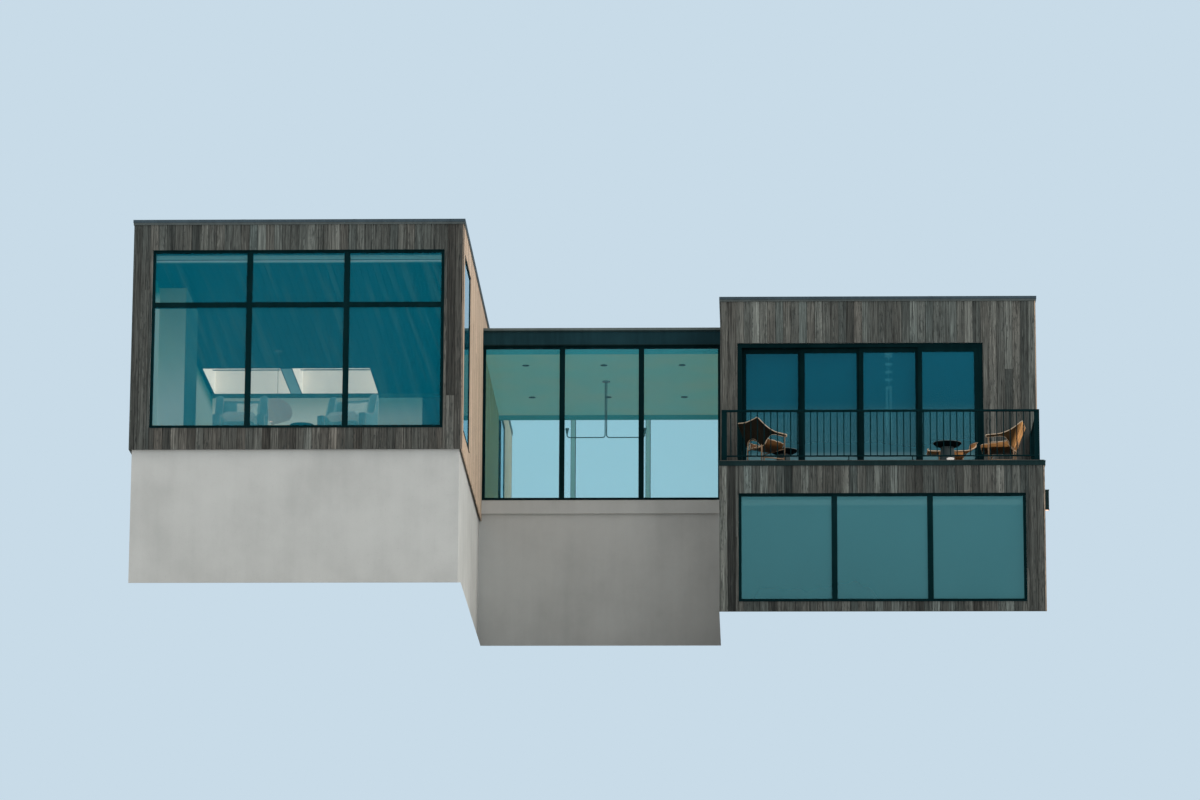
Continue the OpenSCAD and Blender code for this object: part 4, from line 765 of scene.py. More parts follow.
# Drips and folds of the link's dark band and of the balcony's edge
HEAD_DRIP, COPING_DRIP, DECK_DRIP = (0.006, 0.02), (0.004, 0.03), (0.005, 0.022)
drips = Pile()
for face in (LINK_FRONT, LINK_BACK):
    drips.slab(face, 0.0, LINK_W, 0.0, HEAD_DRIP[0], LINK_HEAD, LINK_HEAD + HEAD_DRIP[1])
    out, z = COPING_OVER + COPING_DRIP[0], LINK_ROOF + COPING_DRIP[1]
    drips.slab(face, 0.0, LINK_W, COPING_OVER, out, LINK_ROOF, z)
edge = high("balcony_edge").x - RIGHT_X1
sides = ((RIGHT_OUTER, right_start - edge, upper_start), (RIGHT_INNER, right_start - edge, upper_start))
for face, a0, a1 in ((RIGHT_FRONT, -edge, WING_W + edge), *sides):
    drips.slab(face, a0, a1, edge, edge + DECK_DRIP[0], FLOOR_Z - DECK_DRIP[1], FLOOR_Z)
drips.make("edge_drips", DECK_METAL)

# Flat roofs: lapped seams, the membrane turned up inside the parapets, and outlets with leaf guards
SEAM_PITCH, SEAM_W, UPSTAND_T, OUTLET_IN_X, OUTLET_IN_Y = 1.05, 0.1, 0.006, 0.9, 1.2
seams, upstands, outlets = Pile(), Pile(), Pile()
for x0, x1, y0, y1, z, top in (
    (LEFT_X0 + WALL_T, LEFT_X1 - WALL_T, LEFT_Y0 + WALL_T, LEFT_Y1 - WALL_T, LEFT_ROOF, left_top),
    (RIGHT_X0 + WALL_T, RIGHT_X1 - WALL_T, UPPER_Y0 + WALL_T, RIGHT_Y1 - WALL_T, RIGHT_ROOF, right_top),
    (LEFT_X1, RIGHT_X0, LINK_Y0 + 0.12, LINK_Y1 - 0.12, LINK_ROOF, None),
):
    for i in range(1, int((y1 - y0) / SEAM_PITCH)):
        y = y0 + i * SEAM_PITCH
        seams.block((x0, y - SEAM_W / 2, z), (x1, y + SEAM_W / 2, z + SHEET_T))
    if top:
        upstands.block((x0, y0, z), (x1, y0 + UPSTAND_T, top))
        upstands.block((x0, y1 - UPSTAND_T, z), (x1, y1, top))
        upstands.block((x0, y0, z), (x0 + UPSTAND_T, y1, top))
        upstands.block((x1 - UPSTAND_T, y0, z), (x1, y1, top))
OUTLET = [(0.16, 0.0), (0.16, 0.006), (0.1, 0.012), (0.09, 0.05), (0.05, 0.09), (0.01, 0.1)]
for centre in (
    (LEFT_X1 - OUTLET_IN_X, LEFT_Y0 + OUTLET_IN_Y, LEFT_ROOF),
    (LEFT_X1 - OUTLET_IN_X, LEFT_Y1 - OUTLET_IN_Y, LEFT_ROOF),
    (RIGHT_X1 - OUTLET_IN_X, RIGHT_Y1 - OUTLET_IN_Y, RIGHT_ROOF),
    (RIGHT_X1 - OUTLET_IN_X, UPPER_Y0 + OUTLET_IN_Y, RIGHT_ROOF),
    ((LEFT_X1 + RIGHT_X0) / 2, LINK_Y1 - 1.0, LINK_ROOF),
):
    outlets.revolve(centre, OUTLET, 24)
seams.make("roof_seams", SEAM, "roofing")
upstands.make("roof_upstands", SEAM, "roofing")
outlets.make("roof_outlets", FRAME, "dark_metal", True)

# Rooflights: lined shafts below, metal rims round the glass above. The linings glow as painted daylight, one
# side of each shaft brighter as painted sunlight
in_x0, in_x1, room_y0, room_y1 = LEFT_X0 + WALL_T, LEFT_X1 - WALL_T, LEFT_Y0 + WALL_T, LEFT_Y1 - WALL_T
shaft_x0 = low("rooflight_kerbs").x + KERB_T
shaft_y0 = low("rooflight_kerbs").y + KERB_T
shaft_y1 = shaft_y0 + ROOFLIGHT_D
shafts = [(shaft_x0 + i * ROOFLIGHT_PITCH, shaft_x0 + i * ROOFLIGHT_PITCH + ROOFLIGHT_W) for i in range(2)]
z0, z1, glass_top = CEILING_LOW, low("rooflight_glass").z, high("rooflight_glass").z
linings, bright, rims = Pile(), Pile(), Pile()
for x0, x1 in shafts:
    y0, y1, k = shaft_y0, shaft_y1, KERB_T
    in_y0, in_y1 = y0 + SHAFT_LINING, y1 - SHAFT_LINING
    linings.block((x0, in_y1, z0), (x1, y1, z1))
    linings.block((x0, y0, z0), (x1, in_y0, z1))
    linings.block((x1 - SHAFT_LINING, in_y0, z0), (x1, in_y1, z1))
    bright.block((x0, in_y0, z0), (x0 + SHAFT_LINING, in_y1, z1))
    for a, b in (
        ((x0 - k, y0 - k), (x1 + k, y0)), ((x0 - k, y1), (x1 + k, y1 + k)),
        ((x0 - k, y0), (x0, y1)), ((x1, y0), (x1 + k, y1)),
    ):
        rims.block((*a, glass_top), (*b, glass_top + LINING))
linings.make("shaft_linings", SHAFT_WHITE, "plaster")
bright.make("shaft_sunlit_linings", SHAFT_BRIGHT, "plaster")
rims.make("rooflight_rims", FRAME)

# Ceiling boards of the left wing, cut round the rooflights, and paler ones behind them: a lit copy of the same
# wood, painted light
room_y = low("left_room_wall").y
count = round((in_x1 - in_x0) / FLOOR_PITCH)
step = (in_x1 - in_x0) / count
ceiling, end_boards = Pile(), Pile()
for i in range(count):
    x0, x1 = in_x0 + i * step + SIDE_JOINT, in_x0 + (i + 1) * step - SIDE_JOINT
    for edge0, edge1 in free_spans(x0, x1, shafts):
        ceiling.block((edge0, room_y0, CEILING_LOW), (edge1, room_y1, LEFT_CEILING))
    for s0, s1 in shafts:
        a, b = max(x0, s0), min(x1, s1)
        if b - a > 0.002:
            ceiling.block((a, room_y0, CEILING_LOW), (b, shaft_y0, LEFT_CEILING))
            ceiling.block((a, shaft_y1, CEILING_LOW), (b, room_y1, LEFT_CEILING))
    end_y0, end_z = shaft_y1 + SHAFT_LINING, CEILING_LOW - GAP
    end_boards.block((x0 + 0.001, end_y0, end_z), (x1 - 0.001, room_y, CEILING_LOW))
ceiling.make("ceiling_boards", CEILING_WOOD, "boards")
end_boards.make("ceiling_end_boards", CEILING_LIT, "boards")
blocks("shaft_divider", DIVIDER, "plaster", (
    (shafts[0][1] + 0.02, shaft_y0 + 0.03, CEILING_LOW - 0.008),
    (shafts[1][0] - 0.02, shaft_y1 - 0.03, CEILING_LOW),
))

# Back wall of the front room with its skirting: a pale part, a middle one and a dark one
MIDDLE_X, DARK_X, SKIRTING_H = LEFT_X0 + 4.08, LEFT_X0 + 5.09, 0.09
for name, material, x0, x1 in (
    ("room_wall_pale", BACK_PALE, in_x0, MIDDLE_X), ("room_wall_middle", BACK_MIDDLE, MIDDLE_X, DARK_X),
    ("room_wall_dark", BACK_DARK, DARK_X, in_x1),
):
    skirting_top = FLOOR_Z + SKIRTING_H
    blocks(
        name, material, "plaster",
        ((x0 + 0.003, room_y - LINING, skirting_top), (x1 - 0.003, room_y, CEILING_LOW)),
        ((x0 + 0.001, room_y - 0.018, FLOOR_Z), (x1 - 0.001, room_y, skirting_top)),
    )

# A thin dark lining on the side of the return wall: painted shade
lo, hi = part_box("left_return_wall")
side_lining = ((hi.x, lo.y + 0.002, FLOOR_Z + 0.002), (hi.x + 0.008, hi.y, CEILING_LOW))
blocks("return_side_lining", RETURN_SIDE_SHADE, "plaster", side_lining)

# Blinds: a pale bottom bar and a groove on the housing in the left wing, whose dark strip is painted shade, and
# a rolled one in the lower room
BAR_T, GROOVE_T, ROLL_IN, ROLL_BACK = 0.012, 0.006, 0.48, 0.01
lo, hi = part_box("blind_box")
bar_low, bar_top, groove_top = lo.z - 0.002, lo.z + 0.026, lo.z + 0.044
blocks("blind_bar", BLIND_PALE, "plaster", ((lo.x, lo.y - BAR_T, bar_low), (hi.x, lo.y, bar_top)))
blocks("blind_groove_shade", BACK_DARK, "plaster", ((lo.x, lo.y - GROOVE_T, bar_top), (hi.x, lo.y, groove_top)))
roll_x0, roll_x1 = RIGHT_X0 + ROLL_IN, RIGHT_X1 - ROLL_IN
roll_y = low("right_lower_window").y + FRAME_D + ROLL_BACK
blocks("lower_blind", BLIND_PALE, "plaster", *(
    ((roll_x0, roll_y, LOWER_HEAD - down0), (roll_x1, roll_y + thick, LOWER_HEAD - down1))
    for down0, down1, thick in ((0.19, 0.10, 0.05), (0.215, 0.2, 0.035))
))

# Link: smooth ceiling behind a blind recess, boards on the walls, linings on the back frame, floor of planks
link_x0, link_x1 = LEFT_X1 + GAP, RIGHT_X0 - GAP
link_in0, link_in1 = LINK_Y0 + REVEAL + FRAME_D, LINK_Y1 - REVEAL - FRAME_D
ceiling_y0, ceiling_z = link_in0 + 0.25, LINK_CEILING - 0.008
for name, material, a, b in (
    ("link_ceiling", LINK_PLASTER, (ceiling_y0, ceiling_z), (link_in1 - 0.002, LINK_CEILING)),
    ("blind_recess", RECESS_BLUE, (link_in0 + 0.002, LINK_HEAD - 0.006), (ceiling_y0 - 0.006, LINK_HEAD)),
    # The recess's inner edge, in a darker copy of its plaster: a painted shadow line
    ("blind_recess_shadow_edge", RECESS_SHADOW, (ceiling_y0 - 0.006, ceiling_z), (ceiling_y0, LINK_HEAD)),
):
    blocks(name, material, "plaster", ((link_x0, *a), (link_x1, *b)))
# Boards on the link's walls, in painted sunlight
blocks("link_side_boards", LINK_BOARDS_SUNLIT, "boards", *(
    ((x - 0.009, y0 + SIDE_JOINT, FLOOR_Z + PLANK_T), (x + 0.009, y0 + BOARD_PITCH - SIDE_JOINT, ceiling_z))
    for y0 in (link_in0 + i * BOARD_PITCH for i in range(int((link_in1 - link_in0) / BOARD_PITCH)))
    for x in (LEFT_X1 + 0.007, RIGHT_X0 - 0.007)
))
pane_w = (LINK_W - 2 * BAR - 2 * MULLION) / 3
frame_in, head_low = -REVEAL - FRAME_D, LINK_BACK_HEAD - 0.12
posts, head = Pile(), Pile()
for i in (1, 2):
    a = BAR + i * pane_w + (i - 1) * MULLION
    posts.slab(LINK_BACK, a + GAP, a + MULLION - GAP, frame_in - LINING, frame_in, FLOOR_Z, head_low)
head.slab(LINK_BACK, GAP, LINK_W - GAP, frame_in - 0.02, frame_in, head_low, ceiling_z)
posts.make("back_post_linings", LINING_PALE, "plaster")
head.make("back_head_lining", HEAD_BLUE, "plaster")
blocks("link_planks", FLOOR_WOOD, "boards", (
    (link_x0, link_in0 + GAP, FLOOR_Z), (link_x1, link_in1 - 0.02, FLOOR_Z + PLANK_T),
))
SPOT_R = 0.075
SPOT_GLASS = [(SPOT_R, -0.010), (SPOT_R + 0.005, -0.006), (SPOT_R + 0.003, 0.004)]
spots = Pile()
lo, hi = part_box("ceiling_spots")
for x in (lo.x + SPOT_R, (lo.x + hi.x) / 2, hi.x - SPOT_R):
    for y in (lo.y + SPOT_R, hi.y - SPOT_R):
        spots.revolve((x, y, lo.z), SPOT_GLASS, 32)
spots.make("spot_glasses", SPOT_DARK, "lamp_white", True)

# Boards of the balcony floor, and feet with bolts under the railing's posts
y0, y1, middle = RIGHT_Y0 + GAP, UPPER_Y0 - GAP, RIGHT_X0 + WING_W / 2
count = round((y1 - y0) / FLOOR_PITCH)
step = (y1 - y0) / count
blocks("balcony_floor_boards", DECK_WOOD, "boards", *(
    (
        (x0, y0 + i * step + SIDE_JOINT, FLOOR_Z),
        (x1, y0 + (i + 1) * step - SIDE_JOINT, FLOOR_Z + DECK_BOARD_T),
    )
    for i in range(count) for x0, x1 in ((RIGHT_X0 + GAP, middle), (middle + SIDE_JOINT, RIGHT_X1 - GAP))
))
POSTS, POST_W, FOOT_T, FOOT_HALF_W, FOOT_HALF_D, BOLT_X, BOLT_Y = 6, 0.1, 0.008, 0.05, 0.045, 0.035, 0.03
BOLT = [(0.009, 0.0), (0.009, 0.006), (0.004, 0.009)]
feet = Pile()
lo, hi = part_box("railing_front")
rail_y, foot_z = (lo.y + hi.y) / 2, FLOOR_Z + DECK_BOARD_T
for i in range(POSTS):
    x, top = lo.x + POST_W / 2 + (hi.x - lo.x - POST_W) * i / (POSTS - 1), foot_z + FOOT_T
    feet.block((x - FOOT_HALF_W, rail_y - FOOT_HALF_D, foot_z), (x + FOOT_HALF_W, rail_y + FOOT_HALF_D, top))
    for dx, dy in itertools.product((-BOLT_X, BOLT_X), (-BOLT_Y, BOLT_Y)):
        feet.revolve((x + dx, rail_y + dy, top), BOLT, 6)
feet.make("railing_feet", FRAME)

# Wall lamp: rims and a frosted glass below it
lo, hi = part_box("wall_lamp")
blocks("wall_lamp_rims", FRAME, "lamp_white", *(
    ((hi.x - 0.004, lo.y - 0.004, z0), (hi.x + 0.004, hi.y + 0.004, z1))
    for z0, z1 in ((hi.z - 0.02, hi.z + 0.004), (lo.z, lo.z + 0.02))
))
blocks("wall_lamp_glass", BULB, "lamp_white", (
    (RIGHT_X1 + 0.015, lo.y + 0.015, lo.z - 0.004), (hi.x - 0.01, hi.y - 0.015, lo.z + 0.002),
))

# Bulb that looks out of the tilted shade of the ball lamp
BALL_H, BALL_TILT, BALL_X, BALL_LOW = 0.54, math.radians(20.0), 2.21, 1.65
lo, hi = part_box("ball_lamp")
down, back = BALL_H / 2 * math.cos(BALL_TILT), BALL_H / 2 * math.sin(BALL_TILT)
bulb = Pile()
bulb.revolve(
    (LEFT_X0 + BALL_X - back, (lo.y + hi.y) / 2, LEFT_CEILING - BALL_LOW + BALL_H / 2 - down - 0.03),
    [(0.07 * math.sin(t), 0.055 - 0.062 * math.cos(t)) for t in (0.05, 0.3, 0.6, 0.9, 1.2, 1.45)], 24,
)
bulb.make("ball_lamp_bulb", BULB, "lamp_white", True)

# Balcony chairs: bent leather shells with pale rims, winged wooden seats and slim legs
SEAT_H, BACK_H, SHELL_L, SHELL_W, SHELL_T, SEAT_T, LEG_D = 0.44, 1.0, 0.82, 0.78, 0.018, 0.03, 0.032
SEAT_HALF_W, SEAT_WING_H, SEAT_R, SEAT_SHIFT, WING_FRONT = 0.29, 0.19, 0.37, 0.17, 0.6
FRONT_LEG_X, REAR_LEG_X, REAR_LEG_Y, CROSS_BAR_D, LOW_BAR_Z = 0.34, 0.175, 0.245, 0.024, 0.19
RIM_R, EDGE_R, SEAT_RIM_R, SEAM_R = 0.011, 0.008, 0.012, 0.003
# Upper and lower edge of half a shell, from the tip of its arm to the middle of its back:
# shares of half its length, of half its width and of its height above the seat
SHELL_RIM = [
    (-0.95, 0.97, 0.51), (-0.55, 1.0, 0.52), (-0.2, 1.0, 0.545), (0.15, 1.0, 0.625), (0.425, 0.99, 0.73),
    (0.675, 0.97, 0.86), (0.86, 0.94, 0.97), (0.94, 0.88, 1.0), (0.97, 0.75, 0.97), (0.99, 0.5, 0.94),
    (1.0, 0.25, 0.92), (1.0, 0.0, 0.91),
]
SHELL_EDGE = [
    (-0.95, 0.96, 0.42), (-0.55, 0.97, 0.43), (-0.2, 0.97, 0.445), (0.05, 0.925, 0.4), (0.21, 0.85, 0.26),
    (0.31, 0.775, 0.11), (0.375, 0.7, 0.01), (0.44, 0.625, 0.0), (0.5, 0.55, 0.04), (0.59, 0.4, 0.21),
    (0.625, 0.2, 0.285), (0.64, 0.0, 0.305),
]
SHELL_FACING = [90, 90, 90, 88, 85, 75, 60, 45, 25, 10, 5, 0]
WING_CURVE = [(0.0, 0.0), (0.5, 0.03), (0.75, 0.12), (0.92, 0.4), (1.0, 1.0)]


def rounded(points, steps=6):
    """A smooth line through a few points."""
    out = []
    for i in range(len(points) - 1):
        p0, p1, p2, p3 = points[max(i - 1, 0)], points[i], points[i + 1], points[min(i + 2, len(points) - 1)]
        for t in (k / steps for k in range(steps)):
            out.append(tuple(
                b + ((c - a) * t + (2 * a - 5 * b + 4 * c - d) * t**2 + (3 * b - a - 3 * c + d) * t**3) / 2
                for a, b, c, d in zip(p0, p1, p2, p3)
            ))
    return out + [tuple(points[-1])]


def shell_line(half, inset=SHELL_T / 2):
    """Smooth edge of the shell from one arm to the other, moved inwards by inset."""
    last = len(half) - 1
    points = []
    for k in range(-last, last + 1):
        x, y, z = half[last - abs(k)]
        turn = math.radians(SHELL_FACING[last - abs(k)])
        across = y * SHELL_W / 2 - inset * math.sin(turn)
        x = x * SHELL_L / 2 - inset * math.cos(turn)
        points.append((x, math.copysign(across, k) if k else 0.0, SEAT_H + z * (BACK_H - SEAT_H)))
    return [Vector(p) for p in rounded(points, 5)]


def placed(x, y, turn=0.0):
    """Matrix that puts a piece of furniture on the floor, turned by degrees."""
    return Matrix.Translation((x, y, FLOOR_Z)) @ Matrix.Rotation(math.radians(turn), 4, "Z")


def putter(matrix):
    """A function that moves a point by a matrix."""
    return lambda p: tuple(matrix @ Vector(p))


def double_sheet(outer, inner):
    """Points and faces of a closed sheet between two grids of points with as many rows and columns."""
    rows, row = len(outer), len(outer[0])
    back = rows * row
    faces = []
    for a in (j * row + i for j in range(rows - 1) for i in range(row - 1)):
        faces.append((a, a + 1, a + row + 1, a + row))
        faces.append((back + a + row, back + a + row + 1, back + a + 1, back + a))
    loop = list(range(row)) + [j * row + row - 1 for j in range(1, rows)]
    loop += [(rows - 1) * row + i for i in range(row - 2, -1, -1)] + [j * row for j in range(rows - 2, 0, -1)]
    faces += [(b, a, back + a, back + b) for a, b in zip(loop, loop[1:] + loop[:1])]
    return [p for line in outer + inner for p in line], faces


def shell_grids(up=10):
    """Outer and inner points of a shell, whose leather sags a little between its rims, and its normals."""
    lines = [[shell_line(half, inset) for half in (SHELL_EDGE, SHELL_RIM)] for inset in (0.0, SHELL_T)]
    normals = [(a - b) / SHELL_T for a, b in zip(lines[0][1], lines[1][1])]
    sags = [normal * 0.007 * (1 + 0.5 * math.cos(0.35 * i)) for i, normal in enumerate(normals)]
    shares = [(j / up, math.sin(math.pi * j / up)) for j in range(up + 1)]
    grids = [
        [[a.lerp(b, v) - sag * depth for a, b, sag in zip(edge, rim, sags)] for v, depth in shares]
        for edge, rim in lines
    ]
    return grids, normals


def seat_grids(reach_out, stations=22, across=26):
    """Upper and lower points of a seat bent up into a wing on either side, with a rounded outline."""
    curve = rounded([(-y, z) for y, z in reversed(WING_CURVE[1:])] + WING_CURVE, 8)
    half = [(y * SEAT_HALF_W, z * SEAT_WING_H) for y, z in curve[len(curve) // 2:]]
    rear = SEAT_R - SEAT_SHIFT
    upper, lower = [], []
    for s in range(stations + 1):
        x = -reach_out + (rear + reach_out) * math.sin(math.pi / 2 * s / stations) * 0.998
        wide = math.sqrt(max(0.0, SEAT_R**2 - max(0.0, x + SEAT_SHIFT) ** 2))
        top = SEAT_WING_H * (WING_FRONT + (1 - WING_FRONT) * (x + SEAT_R) / (2 * SEAT_R))
        reach = sum(y <= wide and z <= top for y, z in half) - 1
        row_up, row_low = [], []
        for k in range(-across, across + 1):
            place = abs(k) / across * reach
            i = min(int(place), len(half) - 2)
            (y0, z0), (y1, z1), t = half[i], half[i + 1], place - i
            y, z = y0 + (y1 - y0) * t, z0 + (z1 - z0) * t
            slope, side = math.atan2(z1 - z0, y1 - y0), -1 if k < 0 else 1
            row_up.append(Vector((x, side * y, SEAT_H + z)))
            low_y, low_z = y + SEAT_T * math.sin(slope), z - SEAT_T * math.cos(slope)
            row_low.append(Vector((x, side * low_y, SEAT_H + low_z)))
        upper.append(row_up)
        lower.append(row_low)
    return upper, lower


rims, seats, legs, stitches = Pile(), Pile(), Pile(), Pile()


def add_chair(name, x, y, turn, reach_out, leather, tone, under_shade):
    """One chair: its shell is a mesh of its own, the rest goes into shared piles. reach_out is how far its
    seat comes forward; its two tones, of the seat's top and of its underside, paint light and shade on the
    seat."""
    put = putter(placed(x, y, turn))

    def rod(pile, points, radius, sides):
        pile.tube([put(p) for p in points], radius, sides)

    (outer, inner), normals = shell_grids()
    points, faces = double_sheet(outer, inner)
    row = len(outer[0])
    # Painted sunlight: the leather is paler where the shell looks to the front or the back
    sunlit_share = [min(1.0, max(0.0, (abs(normals[face[0] % row].x) - 0.2) / 0.5)) for face in faces]
    shell = add_mesh(name, [put(p) for p in points], faces, leather, {"tone": sunlit_share}, True)
    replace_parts(shell, "balcony_chairs")
    rod(rims, shell_line(SHELL_RIM), RIM_R, 8)
    rod(rims, shell_line(SHELL_EDGE), EDGE_R, 8)
    for end in (0, -1):
        rod(rims, [shell_line(half)[end] for half in (SHELL_EDGE, SHELL_RIM)], RIM_R, 8)
    for i in (round(part * (row - 1)) for part in (0.3, 0.42, 0.58, 0.7)):
        rod(stitches, [line[i] + normals[i] * 0.001 for line in outer], SEAM_R, 6)
    upper, lower = seat_grids(reach_out)
    points, faces = double_sheet([line[::-1] for line in upper], [line[::-1] for line in lower])
    base = len(seats.verts)
    seats.verts += [put(p) for p in points]
    for face in faces:
        # Faces that look down take the tone underneath: painted shade under the seat
        a, b, c = (points[i] for i in face[:3])
        under = (b - a).cross(c - a).normalized().z < -0.6
        seats.add_faces([tuple(base + i for i in face)], (under_shade if under else tone, *PLAIN[1:]))
    middle = [[a.lerp(b, 0.5) for a, b in zip(*rows)] for rows in zip(upper, lower)]
    for line in (middle[0], [row[0] for row in middle], [row[-1] for row in middle]):
        rod(rims, line, SEAT_RIM_R, 8)
    arm_y = SHELL_W / 2 * SHELL_EDGE[0][1] - SHELL_T
    arm_z = SEAT_H + (BACK_H - SEAT_H) * (SHELL_EDGE[0][2] + SHELL_RIM[0][2]) / 2
    for side in (-1, 1):
        front, rear = (-FRONT_LEG_X, side * arm_y), (REAR_LEG_X, side * REAR_LEG_Y)
        rod(legs, [(*front, 0.0), (*front, arm_z)], LEG_D / 2, 10)
        rod(legs, [(*rear, 0.0), (*rear, SEAT_H + 2 * LEG_D)], LEG_D / 2, 10)
        rod(legs, [(*front, LOW_BAR_Z), (*rear, LOW_BAR_Z)], CROSS_BAR_D / 2, 10)
    for bar_x, bar_y in ((-FRONT_LEG_X, arm_y), (REAR_LEG_X, REAR_LEG_Y)):
        rod(legs, [(bar_x, side * bar_y, SEAT_H - SEAT_T) for side in (-1, 1)], CROSS_BAR_D / 2, 10)


# Places on the balcony are measured from its left front corner, turns in degrees
for name, x, y, turn, reach_out, leather, tone, under_shade in (
    # The left chair's dark seat and leather are painted shade, the right one's bright seat painted sunlight
    ("left_chair_shell", 0.88, 0.78, -143.0, 0.36, LEATHER_SHADED, 0.27, 0.22),
    ("right_chair_shell", 6.055, 1.1, -8.0, 0.5, LEATHER_SUNLIT, 1.25, 0.12),
):
    add_chair(name, RIGHT_X0 + x, RIGHT_Y0 + y, turn, reach_out, leather, tone, under_shade)

# Footstool: a seat of thin bent plies over two side rails
STOOL_PLACE, STOOL_L, STOOL_W, STOOL_SEAT, STOOL_SIDE_H = (4.91, 1.7), 0.98, 0.405, 0.55, 0.15
STOOL_RISE, STOOL_LEAN, PLIES = 0.2, 0.35, 5
end_x, leg_x, leg_y = STOOL_L / 2, STOOL_L / 4, STOOL_W / 2 - LEG_D
on_stool = putter(placed(RIGHT_X0 + STOOL_PLACE[0], RIGHT_Y0 + STOOL_PLACE[1]))


def put_stool(p):
    """Puts a point of the footstool in place; its right end turns towards the front and narrows to a tip."""
    x, y, z = p
    along = max(0.0, (x - leg_x) / (end_x - leg_x))
    return on_stool((x - STOOL_LEAN * y * along, y * (1 - 0.5 * along**3), z))


stool_line = rounded([
    (x, STOOL_SEAT + STOOL_RISE * rise)
    for x, rise in (
        (-end_x, 0.25), (-end_x + 2 * SEAT_T, 0.0), (leg_x, 0.0),
        (end_x * 0.8, 0.2), (end_x - SEAT_T, 0.5), (end_x, 1.0),
    )
])
ply = SEAT_T / PLIES
for i in range(PLIES):
    half = STOOL_W / 2 - (0.001 if i % 2 else 0.0)
    section = ((-half, 0.94), (half, 0.94), (half, 0.0), (-half, 0.0))
    seats.skin([[put_stool((x, y, z - (i + down) * ply)) for y, down in section] for x, z in stool_line])
for side in (-1, 1):
    rims.tube([put_stool((x, side * STOOL_W / 2, z - SEAT_T / 2)) for x, z in stool_line], SEAT_RIM_R, 8)
    y0, top = side * (STOOL_W / 2 - SHELL_T / 2) - SHELL_T / 2, STOOL_SEAT - SEAT_T / 2
    rail = ((-leg_x, y0, STOOL_SEAT - STOOL_SIDE_H), (leg_x + LEG_D, y0 + SHELL_T, top))
    seats.block(*(on_stool(p) for p in rail))
    for x in (-leg_x, leg_x):
        legs.tube([on_stool((x, side * leg_y, 0.0)), on_stool((x, side * leg_y, top))], LEG_D / 2)
tip_z = STOOL_SEAT + STOOL_RISE - SEAT_T / 2
rims.tube([put_stool((end_x, y, tip_z)) for y in (-STOOL_W / 2, STOOL_W / 2)], RIM_R, 8)
rims.make("chair_rims", PALE_WOOD, "boards", True)
for pile, name, material in ((seats, "chair_seats", TAN_WOOD), (legs, "chair_legs", LEG_WOOD)):
    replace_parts(pile.make(name, material, "boards", True), "balcony_chairs")
stitches.make("chair_seams", LEATHER_SHADED, "leather")

# Round tables: dished black tops with a pale rim on tapered grey pedestals, and a small bowl on the floor
TABLE_TOP = [
    (0.05, 0.49), (0.15, 0.5), (0.21, 0.52), (0.262, 0.548),
    (0.292, 0.575), (0.301, 0.594), (0.295, 0.6), (0.28, 0.601),
]
PEDESTAL = [(0.175, 0.0), (0.178, 0.012), (0.172, 0.02), (0.158, 0.3), (0.142, 0.48), (0.144, 0.502)]
BOWL = [(0.04, 0.0), (0.068, 0.03), (0.08, 0.085), (0.075, 0.087), (0.06, 0.034), (0.01, 0.012)]


def ring(pile, centre, radius, height, thickness):
    """A thin round rim about an upright axis."""
    x, y, z = centre
    pile.tube([(x + radius * c, y + radius * s, z + height) for c, s in circle(48)], thickness, 6, True)


tops, table_rims, pedestals, bowl = Pile(), Pile(), Pile(), Pile()
for x, y in ((1.35, 1.68), (4.81, 1.0)):
    centre = (RIGHT_X0 + x, RIGHT_Y0 + y, FLOOR_Z)
    tops.revolve(centre, TABLE_TOP)
    ring(table_rims, centre, 0.3, 0.59, 0.007)
    pedestals.revolve(centre, PEDESTAL)
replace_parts(tops.make("table_tops", TABLE_BLACK, "dark_metal", True), "balcony_tables")
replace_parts(pedestals.make("table_pedestals", TABLE_GREY, "dark_metal", True), "balcony_tables")
table_rims.make("table_rims", LINK_CAP, "dark_metal", True)
bowl.revolve((RIGHT_X0 + 4.845, RIGHT_Y0 + 0.24, FLOOR_Z + DECK_BOARD_T), BOWL, 32)
bowl.make("small_bowl", BOWL_WHITE, "plaster", True)

# Wing chairs of the front room: upholstered bases, backs and wings with loose seat cushions and pillows
SOFA_W, SOFA_D, SOFA_T = 1.08, 0.83, 0.16
SOFA_SEAT_H, SOFA_BACK_H, SOFA_ARM_H, FOOT_H = 0.42, 1.03, 0.54, 0.14
SEAT_PAD_H, PILLOW_W, PILLOW_H, PILLOW_T, PILLOW_SHIFT, PIPING_R = 0.2, 0.5, 0.3, 0.15, 0.12, 0.005
piping, sofa_feet = Pile(), Pile()


def pulled_in(half_x, half_y, u, v):
    """A place on a cushion's face, whose sides pull in between its corners; u and v run from -1 to 1."""
    return half_x * u * (1 - 0.05 * (1 - v * v) * abs(u)), half_y * v * (1 - 0.05 * (1 - u * u) * abs(v))


def soft_form(half, crown, n=12):
    """Points and faces of a crowned closed form in a box of half sizes."""
    verts, faces, index = [], [], {}
    for side in (1, -1):
        for i, j in itertools.product(range(n + 1), repeat=2):
            u, v = 2 * i / n - 1, 2 * j / n - 1
            rim = max(abs(u), abs(v)) > 0.999
            if side == -1 and rim:
                index[side, i, j] = index[1, i, j]
                continue
            full = 0.0 if rim else 0.18 + 0.82 * ((1 - u**6) * (1 - v**6)) ** crown
            index[side, i, j] = len(verts)
            verts.append((*pulled_in(half[0], half[1], u, v), side * half[2] * full))
        for i, j in itertools.product(range(n), repeat=2):
            quad = tuple(index[side, p, q] for p, q in ((i, j), (i + 1, j), (i + 1, j + 1), (i, j + 1)))
            faces.append(quad[::side])
    return verts, faces


def bake(obj):
    """Puts what the modifiers make into the object's own mesh."""
    view = bpy.context.evaluated_depsgraph_get()
    mesh = bpy.data.meshes.new_from_object(obj.evaluated_get(view))
    old, obj.data = obj.data, mesh
    obj.modifiers.clear()
    mesh.polygons.foreach_set("use_smooth", [True] * len(mesh.polygons))
    bpy.data.meshes.remove(old)


